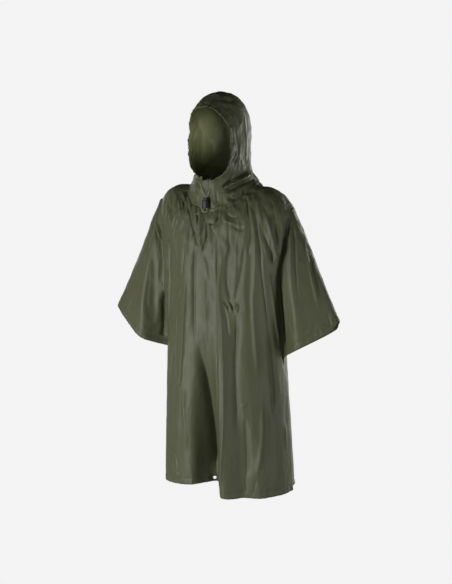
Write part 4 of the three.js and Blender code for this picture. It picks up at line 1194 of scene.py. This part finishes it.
def seam_weight(name, grid):
    """1 on the neck, shoulder and armhole seams, falling to 0 away from them."""
    rows, cols = grid.shape[:2]
    row = np.arange(rows)[:, None] + np.zeros(cols)
    if name in ("front", "back"):
        across = np.abs(front_across if name == "front" else back_across)
        armhole = np.exp(-((1 - across) / 0.05) ** 2) * (1 - ease(sleeve_rows - 30, sleeve_rows, row))
        return np.maximum(np.exp(-(row / 11.0) ** 2), armhole)
    if name.startswith("sleeve"):
        s = np.abs(sleeves[1][2])
        weight = np.exp(-((1 - s) / 0.1) ** 2) * (1 - ease(sleeve_rows - 30, sleeve_rows, row))
        return np.maximum(weight, np.exp(-(row / 4.0) ** 2))
    angle = hoods[1][1]
    return np.exp(-(row / 10.0) ** 2) * ease(0, 14, angle)


def above_edge(grid):
    """Distance of each point above the last row of its grid."""
    tall = np.linalg.norm(np.diff(grid, axis=0), axis=-1)
    return np.concatenate([np.cumsum(tall[::-1], 0)[::-1], np.zeros((1, grid.shape[1]))], 0)


def piece_heights(name, grid):
    """Heights of a piece's own pleats, and of the groove that its hem stitches pull."""
    side = 1 if name.endswith("left") else -1
    if name.startswith("hood"):
        return face_puckers(side, *hoods[side][1:])
    above = above_edge(grid)
    if name.startswith("sleeve"):
        s = sleeves[side][2]
        high = edge_puckers(51 + side, s, above) * ease(0, 0.04, 1 - np.abs(s))
    else:
        face, across = (-1, front_across) if name == "front" else (1, back_across)
        high = gather_heights(face, across, grid)
        high += edge_puckers(41 + face, across, above) * ease(0, 0.05, 1 - np.abs(across))
    return high - HEM_GROOVE * np.exp(-((above - HEM_WIDTH) / HEM_GROOVE_WIDTH) ** 2)


joined, number, joined_faces, starts = join_pieces()
count = len(joined)
weight = joined_means([seam_weight(n, g) for n, (g, l) in grids.items()])
lift = np.stack([joined_means([l[..., i] for g, l in grids.values()]) for i in range(3)], 1)
heights = joined_means([piece_heights(n, g) for n, (g, l) in grids.items()])
for table in (FRONT_CREASES, SLEEVE_CREASES, HOOD_CREASES):
    heights += crease_heights(table, joined)
eased = relaxed(joined, joined_faces, weight, RELAX_STEPS)
upper = ease(-330, -60, joined[:, 2])
hood_share = ease(-60, 20, joined[:, 2])
hanging = crumple_heights(joined, 34.0, 1, GRAVITY_STRETCH) * mix(0.9, 2.5, upper)
hanging += crumple_heights(joined, 14.0, 2, GRAVITY_STRETCH) * mix(0.4, 1.5, upper)
crushed = crumple_heights(joined, 42.0, 3, CRUSH_STRETCH) * 1.9
crushed += crumple_heights(joined, 17.0, 4, CRUSH_STRETCH) * 0.9
heights += mix(hanging, crushed, hood_share)
outward = point_normals(eased, joined_faces)
creased = eased + lift + outward * heights[:, None]
creased = relaxed(creased, joined_faces, np.full(count, 0.15), 1)


def cloth_maps(grid):
    """Distances across and down the cloth, in metres, for its weave."""
    wide = np.linalg.norm(np.diff(grid, axis=1), axis=-1)
    tall = np.linalg.norm(np.diff(grid, axis=0), axis=-1)
    u = np.concatenate([np.zeros((len(grid), 1)), np.cumsum(wide, 1)], 1)
    u -= u[:, [u.shape[1] // 2]]
    v = np.concatenate([np.zeros((1, grid.shape[1])), np.cumsum(tall, 0)], 0)
    return np.stack([u, v], -1) * 0.001


WEAVE_PITCH = 0.0009


def cloth_material(name, low, high, roughness, specular):
    made, shader = new_material(name, IOR=1.5, Specular_IOR_Level=specular)
    start = Value(made.node_tree, None)
    place = start.node("ShaderNodeTexCoord", out=OBJECT_PLACE)
    cloud = start.node("ShaderNodeTexNoise", Vector=place, Scale=5.0, Detail=3.0, Roughness=0.5)
    fine = start.node("ShaderNodeTexNoise", Vector=place, Scale=70.0, Detail=4.0, Roughness=0.6)
    crumple = start.node("ShaderNodeTexNoise", Vector=place, Scale=38.0, Detail=5.0, Roughness=0.62)
    u, v = start.node("ShaderNodeUVMap", {"uv_map": "cloth"}).parts()[:2]
    turn = 2 * math.pi / WEAVE_PITCH
    threads = start.math("SINE", u * turn) * start.math("SINE", v * turn)
    weave = start.node("ShaderNodeBump", Strength=0.12, Distance=0.0001, Height=threads)
    bump = start.node("ShaderNodeBump", Strength=0.4, Distance=0.003, Height=crumple, Normal=weave)
    plug(shader, Base_Color=cloud.blend(low, high), Roughness=fine * 0.14 + roughness, Normal=bump)
    return made


nylon = cloth_material("coated_nylon", linear(80, 83, 60), linear(92, 95, 70), 0.47, 0.4)
# The inside colour is paler: partly the coating's own colour and partly painted light, standing in for light
# shining through the thin cloth.
nylon_inside_with_painted_backlight = cloth_material("nylon_inside_with_painted_backlight", linear(114, 118, 82), linear(130, 134, 98), 0.36, 0.5)


def cloth_piece(name, grid, turned, node):
    mesh = sheet_mesh(name, grid, turned, cloth_maps(grid))
    piece = add_piece(name, mesh, nylon, "cloth", node)
    mesh.materials.append(nylon_inside_with_painted_backlight)
    wall = piece.modifiers.new("cloth_wall", "SOLIDIFY")
    wall.thickness = CLOTH_THICK
    wall.offset = -1.0
    wall.material_offset = 1
    return piece


CUT_NODES = {
    "front": "front_panel",
    "back": "back_panel",
    "sleeve_left": "sleeve_left",
    "sleeve_right": "sleeve_right",
    "hood_left": "hood_left",
    "hood_right": "hood_right",
}
# Width, length and area of each piece of cloth laid flat, in metres.
CUTS = {
    "front": (0.70, 1.10, 0.68),
    "back": (0.72, 1.14, 0.72),
    "sleeve_left": (0.38, 0.56, 0.15),
    "sleeve_right": (0.38, 0.56, 0.17),
    "hood_left": (0.29, 0.42, 0.10),
    "hood_right": (0.29, 0.42, 0.10),
}
# The cloth lies flat round the eyelet of the front hem, and is cut through there.
EYELET_ROW, EYELET_COLUMN = 197, 111
EYELET_HOLE = 7.2
SEAT_FLAT, SEAT_END = 10, 22


def seated(grid, centre, facing):
    """The grid with its points round the eyelet laid flat on the plane of its ring."""
    away = grid - centre
    near = 1 - ease(SEAT_FLAT, SEAT_END, np.linalg.norm(away, axis=-1))
    return grid - (near * (away @ facing))[..., None] * facing


def cut_round_hole(mesh, centre, facing, radius):
    """Cuts a round hole through a sheet, with its rim on the radius; all in metres."""
    sheet = bmesh.new()
    sheet.from_mesh(mesh)
    gone = [face for face in sheet.faces if (face.calc_center_median() - centre).length < radius]
    rim = {vert for face in gone for vert in face.verts}
    bmesh.ops.delete(sheet, geom=gone, context="FACES")
    for vert in rim:
        if vert.is_valid:
            away = vert.co - centre
            away -= facing * away.dot(facing)
            vert.co = centre + away.normalized() * radius
    sheet.to_mesh(mesh)
    sheet.free()


panels, finished, finished_out = {}, {}, {}
final_out = point_normals(creased, joined_faces)
for name, node in CUT_NODES.items():
    shape = grids[name][0].shape
    index = number[starts[name] : starts[name] + shape[0] * shape[1]]
    finished[name] = creased[index].reshape(shape)
    finished_out[name] = final_out[index].reshape(shape)
    if name == "front":
        eyelet_centre = finished[name][EYELET_ROW, EYELET_COLUMN]
        eyelet_facing = finished_out[name][EYELET_ROW, EYELET_COLUMN]
        finished[name] = seated(finished[name], eyelet_centre, eyelet_facing)
    panels[name] = cloth_piece(name + "_cloth", finished[name], TURNED[name], node)
cut_round_hole(
    panels["front"].data, Vector(eyelet_centre) * 0.001, Vector(eyelet_facing), EYELET_HOLE * 0.001,
)

# The channel round the face: a narrow tunnel of the same cloth, turned in at the
# edge of the hood, stitched, and drawn into small pleats by the cord inside it.

CHANNEL_HALF = 5.4
CHANNEL_HALF_THICK = 2.3
CHANNEL_AROUND = 18
CHANNEL_PLEATS = 120
CHANNEL_STEP = 1.6
FACE_CENTRE = np.array([0.0, -108.0, 140.0])


def unit(v):
    return v / np.maximum(np.linalg.norm(v, axis=-1, keepdims=True), 1e-9)


def face_ring(pieces):
    """The hood's edge round the face, from the chin over the crown and back."""
    left, right = pieces["hood_left"], pieces["hood_right"]
    return np.concatenate([left[HOOD_LOW_STEPS:, 0], right[HOOD_LOW_STEPS + 1 : -1, 0][::-1]])


def channel_mesh():
    edge, out = face_ring(finished), face_ring(finished_out)
    closed = np.concatenate([edge, edge[:1]])
    run = run_along(closed)
    steps = np.linspace(0, run[-1], round(run[-1] / CHANNEL_STEP), endpoint=False)
    line = resampled(closed, run, steps)
    away = resampled(np.concatenate([out, out[:1]]), run, steps)
    along = unit(np.roll(line, -2, 0) - np.roll(line, 2, 0))
    away = unit(away - along * (away * along).sum(1, keepdims=True))
    inward = unit(np.cross(along, away))
    inward *= np.sign((inward * (FACE_CENTRE - line)).sum(1, keepdims=True))
    rows = seeded_rows(61, CHANNEL_PLEATS, place=(0, run[-1]), width=(1.8, 4.0), height=(0.15, 0.6),
                       reach=(0.4, 1.0))
    pleat = pleated(
        np.zeros(len(steps)), rows,
        lambda row: (steps - row["place"] + run[-1] / 2) % run[-1] - run[-1] / 2,
        lambda row: 1.0,
    )
    middle = line + inward * (CHANNEL_HALF - 0.6) - away * 1.1
    turn = 2 * np.pi * np.arange(CHANNEL_AROUND) / CHANNEL_AROUND
    wide = CHANNEL_HALF + 0.5 * pleat
    thick = np.clip(CHANNEL_HALF_THICK + 0.8 * pleat, 1.6, 3.2)
    rings = (
        middle[:, None]
        + inward[:, None] * (wide[:, None] * np.cos(turn))[..., None]
        + away[:, None] * (thick[:, None] * np.sin(turn))[..., None]
    )
    count, around = rings.shape[:2]
    index = np.arange(count * around).reshape(count, around)
    right, down = np.roll(index, -1, 1), np.roll(index, -1, 0)
    faces = np.stack([index, right, np.roll(right, -1, 0), down], -1).reshape(-1, 4)
    mesh = bpy.data.meshes.new("hood_channel_cloth")
    mesh.from_pydata((rings.reshape(-1, 3) * 0.001).tolist(), [], faces.tolist())
    layer = mesh.uv_layers.new(name="cloth")
    maps = np.stack(np.broadcast_arrays(steps[:, None], turn * 4.0), -1).reshape(-1, 2) * 0.001
    layer.data.foreach_set("uv", maps[faces.ravel()].astype(np.float32).ravel())
    shape = bmesh.new()
    shape.from_mesh(mesh)
    bmesh.ops.recalc_face_normals(shape, faces=shape.faces)
    shape.to_mesh(mesh)
    shape.free()
    mesh.shade_smooth()
    return mesh


channel = add_piece("hood_channel_cloth", channel_mesh(), nylon, "cloth", "hood_channel")
for name, (width, length, area) in CUTS.items():
    extra = [channel] if name == "hood_left" else []

# The sewing: lockstitched seams in olive thread along hems, cuffs, neck, crown
# and channel. Each stitch is a short raised bar, laid along its seam.

THREAD = {"Pitch": 0.0052, "Stitch Length": 0.0034, "Thread Width": 0.0009}
STITCH_LIFT = 0.15


def line_above(grid, out, distance):
    """A line on the cloth at a distance above its last row."""
    above = above_edge(grid)
    line = []
    for c in range(grid.shape[1]):
        place = np.interp(distance, above[::-1, c], np.arange(len(grid))[::-1])
        k = min(int(place), len(grid) - 2)
        line.append(mix(grid[k, c], grid[k + 1, c], place - k) + out[k, c] * STITCH_LIFT)
    return np.array(line)


def thread_material():
    made, shader = new_material("olive_thread", Roughness=0.6)
    start = Value(made.node_tree, None)
    place = start.node("ShaderNodeTexCoord", out=OBJECT_PLACE)
    fleck = start.node("ShaderNodeTexNoise", Vector=place, Scale=260.0, Detail=2.0)
    plug(shader, Base_Color=fleck.blend(linear(74, 76, 56), linear(100, 102, 80)))
    return made


def stitch_tree(material):
    """Short bars along every line of the mesh, sized by named inputs."""
    tree = bpy.data.node_groups.new("lockstitch", "GeometryNodeTree")
    face = tree.interface
    face.new_socket("Geometry", in_out="INPUT", socket_type="NodeSocketGeometry")
    for name, value in THREAD.items():
        socket = face.new_socket(name, in_out="INPUT", socket_type="NodeSocketFloat")
        socket.default_value = value
    face.new_socket("Geometry", in_out="OUTPUT", socket_type="NodeSocketGeometry")
    add = tree.nodes.new
    link = tree.links.new
    given, made = add("NodeGroupInput"), add("NodeGroupOutput")
    curve, spaced = add("GeometryNodeMeshToCurve"), add("GeometryNodeResampleCurve")
    spaced.mode = "LENGTH"
    link(given.outputs["Geometry"], curve.inputs[0])
    link(curve.outputs[0], spaced.inputs["Curve"])
    link(given.outputs["Pitch"], spaced.inputs["Length"])
    bar = add("GeometryNodeMeshCylinder")
    bar.fill_type = "TRIANGLE_FAN"
    bar.inputs["Vertices"].default_value = 6
    half = add("ShaderNodeMath")
    half.operation = "MULTIPLY"
    half.inputs[1].default_value = 0.5
    link(given.outputs["Thread Width"], half.inputs[0])
    link(half.outputs[0], bar.inputs["Radius"])
    link(given.outputs["Stitch Length"], bar.inputs["Depth"])
    tangent, turn = add("GeometryNodeInputTangent"), add("FunctionNodeAlignRotationToVector")
    turn.axis = "Z"
    link(tangent.outputs[0], turn.inputs["Vector"])
    placed = add("GeometryNodeInstanceOnPoints")
    link(spaced.outputs[0], placed.inputs["Points"])
    link(bar.outputs["Mesh"], placed.inputs["Instance"])
    link(turn.outputs[0], placed.inputs["Rotation"])
    real, colour = add("GeometryNodeRealizeInstances"), add("GeometryNodeSetMaterial")
    colour.inputs["Material"].default_value = material
    link(placed.outputs[0], real.inputs[0])
    link(real.outputs[0], colour.inputs["Geometry"])
    link(colour.outputs[0], made.inputs[0])
    return tree


def stitch_piece(name, lines):
    """One plain mesh of stitches along the lines, given in millimetres."""
    verts, edges = [], []
    for line in lines:
        first = len(verts)
        verts.extend((np.asarray(line) * 0.001).tolist())
        edges.extend((first + k, first + k + 1) for k in range(len(line) - 1))
    guide_mesh = bpy.data.meshes.new(name + "_line")
    guide_mesh.from_pydata(verts, edges, [])
    guide = bpy.data.objects.new(name + "_line", guide_mesh)
    scene.collection.objects.link(guide)
    maker = guide.modifiers.new("stitches", "NODES")
    maker.node_group = sewing
    for item in sewing.interface.items_tree:
        if item.in_out == "INPUT" and item.name in THREAD:
            maker[item.identifier] = THREAD[item.name]
    graph = bpy.context.evaluated_depsgraph_get()
    mesh = bpy.data.meshes.new_from_object(guide.evaluated_get(graph))
    mesh.name = name
    bpy.data.objects.remove(guide)
    return add_piece(name, mesh, thread, "cloth")


thread = thread_material()
sewing = stitch_tree(thread)
neck_columns = slice(SHOULDER_STEPS, -SHOULDER_STEPS)
stitch_piece("hem_stitches", [
    line_above(finished[name], finished_out[name], HEM_WIDTH) for name in ("front", "back")
])
stitch_piece("cuff_stitches", [
    line_above(finished[name], finished_out[name], HEM_WIDTH) for name in ("sleeve_left", "sleeve_right")
])
stitch_piece("neck_stitches", [
    finished[name][2, neck_columns] + finished_out[name][2, neck_columns] * STITCH_LIFT
    for name in ("front", "back")
])
stitch_piece("hood_stitches", [
    grid[rows] + out[rows] * STITCH_LIFT
    for grid, out in ((finished[n], finished_out[n]) for n in ("hood_left", "hood_right"))
    for rows in ((slice(HOOD_LOW_STEPS, None), 2), (-3, slice(4, None)))
])

# The eyelet near the front hem: a dark pressed metal ring round a cut hole.


def pressed_metal(name):
    made, shader = new_material(name, Metallic=1.0)
    start = Value(made.node_tree, None)
    place = start.node("ShaderNodeTexCoord", out=OBJECT_PLACE)
    wear = start.node("ShaderNodeTexNoise", Vector=place, Scale=400.0, Detail=3.0)
    shade = wear.blend(linear(60, 60, 50), linear(110, 110, 96))
    plug(shader, Base_Color=shade, Roughness=wear * 0.3 + 0.25)
    return made


EYELET_AROUND = 64
CLOTH_WALL = CLOTH_THICK * 1000
EYELET_PROFILE = [
    (5.8, -1.0 - CLOTH_WALL), (5.8, 1.0), (6.2, 1.35), (6.8, 1.5), (7.6, 1.45), (8.5, 1.1),
    (9.1, 0.5), (9.2, 0.06), (6.9, 0.06), (6.9, -0.06 - CLOTH_WALL), (9.2, -0.06 - CLOTH_WALL),
    (9.0, -0.5 - CLOTH_WALL), (8.2, -1.1 - CLOTH_WALL), (7.0, -1.4 - CLOTH_WALL),
    (6.2, -1.3 - CLOTH_WALL),
]


def ring_mesh(name, centre, facing):
    """A grommet of two flanges and a barrel, turned about the line it faces along."""
    out = Vector(facing)
    across = out.cross(Vector((0, 0, 1))).normalized()
    up = across.cross(out)
    count, sides = len(EYELET_PROFILE), EYELET_AROUND
    verts, faces = [], []
    for k in range(sides):
        turn = 2 * math.pi * k / sides
        way = across * math.cos(turn) + up * math.sin(turn)
        verts.extend((Vector(centre) + way * r + out * h) * 0.001 for r, h in EYELET_PROFILE)
        for i in range(count):
            here, there = k * count, (k + 1) % sides * count
            faces.append((here + i, here + (i + 1) % count, there + (i + 1) % count, there + i))
    mesh = bpy.data.meshes.new(name)
    mesh.from_pydata(verts, [], faces)
    mesh.validate()
    mesh.shade_smooth()
    return mesh


add_piece(
    "hem_eyelet_ring", ring_mesh("hem_eyelet_ring", eyelet_centre, eyelet_facing),
    pressed_metal("eyelet_metal"), "eyelet", "hem_eyelet",
)

# The studio: a wide pale floor well under the hem, a pale surround, four large soft
# lights at the front left, behind on both sides and at the right, and a narrow
# lamp that reaches into the hood.

FLOOR_DROP = 0.45
FLOOR_HALF = 30.0
PALE = (0.9, 0.9, 0.9, 1)
ROOM_TONES = [(0.3, 0.75), (0.5, 1.0), (0.62, 0.45), (0.85, 0.1)]
ROOM_STRENGTH = 0.22
LIGHT_TARGET = (0, 0, -0.4)
LIGHTS = [
    ("left_light", (-1.5, -3.0, -1.0), 1.1, 2.0, 110.0),
    ("back_light", (1.2, 3.4, -0.2), 1.8, 2.2, 70.0),
    ("back_left_light", (-2.9, 1.9, -0.2), 1.4, 2.2, 22.0),
    ("right_light", (3.1, -0.5, -0.6), 0.8, 2.2, 30.0),
]
HOOD_LIGHT_PLACE = (1.3, -2.4, 0.1)
HOOD_LIGHT_TARGET = (-0.072, -0.10, 0.175)


def show_apart(tree, lit, shown, output):
    """Shows one shader to the camera, while all other rays meet the lit one."""
    ray = tree.nodes.new("ShaderNodeLightPath")
    either = tree.nodes.new("ShaderNodeMixShader")
    tree.links.new(ray.outputs["Is Camera Ray"], either.inputs["Fac"])
    tree.links.new(lit.outputs[0], either.inputs[1])
    tree.links.new(shown.outputs[0], either.inputs[2])
    tree.links.new(either.outputs[0], tree.nodes[output].inputs["Surface"])


def add_light(data, place, target):
    """Puts a light at a place, turned towards its target."""
    lamp = bpy.data.objects.new(data.name, data)
    scene.collection.objects.link(lamp)
    away = (Vector(place) - Vector(target)).normalized()
    lamp.matrix_world = Matrix.Translation(place) @ away.to_track_quat("Z", "Y").to_matrix().to_4x4()


floor_mesh = bpy.data.meshes.new("floor")
low = cad_box[0].z - FLOOR_DROP
floor_mesh.from_pydata(
    [(x * FLOOR_HALF, y * FLOOR_HALF, low) for x, y in ((-1, -1), (1, -1), (1, 1), (-1, 1))],
    [], [(0, 1, 2, 3)],
)
floor = bpy.data.objects.new("floor", floor_mesh)
scene.collection.objects.link(floor)
floor_look, floor_shader = new_material("floor_paint", Base_Color=(0.5, 0.5, 0.5, 1), Roughness=0.9)
floor_glow = floor_look.node_tree.nodes.new("ShaderNodeEmission")
floor_glow.inputs["Color"].default_value = PALE
show_apart(floor_look.node_tree, floor_shader, floor_glow, "Material Output")
floor_mesh.materials.append(floor_look)

world = bpy.data.worlds.new("surround")
world.use_nodes = True
world_tree = world.node_tree
backdrop = world_tree.nodes["Background"]
backdrop.inputs["Color"].default_value = PALE
backdrop.inputs["Strength"].default_value = 1.0
room = world_tree.nodes.new("ShaderNodeBackground")
room.inputs["Strength"].default_value = ROOM_STRENGTH
direction = Value(world_tree, None).node("ShaderNodeTexCoord")
up_share = direction.parts()[2] * 0.5 + 0.5
ramp = world_tree.nodes.new("ShaderNodeValToRGB")
stops = ramp.color_ramp.elements
while len(stops) < len(ROOM_TONES):
    stops.new(0.5)
for stop, (height, tone) in zip(stops, ROOM_TONES):
    stop.position = height
    stop.color = (tone, tone, tone, 1.0)
world_tree.links.new(up_share.socket, ramp.inputs["Fac"])
world_tree.links.new(ramp.outputs[0], room.inputs["Color"])
show_apart(world_tree, room, backdrop, "World Output")
scene.world = world
scene.view_settings.view_transform = "Standard"

for name, place, width, height, power in LIGHTS:
    data = bpy.data.lights.new(name, "AREA")
    data.shape = "RECTANGLE"
    data.size = width
    data.size_y = height
    data.energy = power
    add_light(data, place, LIGHT_TARGET)

hood_lamp = bpy.data.lights.new("hood_light", "SPOT")
hood_lamp.energy = 400.0
hood_lamp.spot_size = math.radians(3.4)
hood_lamp.spot_blend = 1.0
hood_lamp.shadow_soft_size = 0.06
add_light(hood_lamp, HOOD_LIGHT_PLACE, HOOD_LIGHT_TARGET)
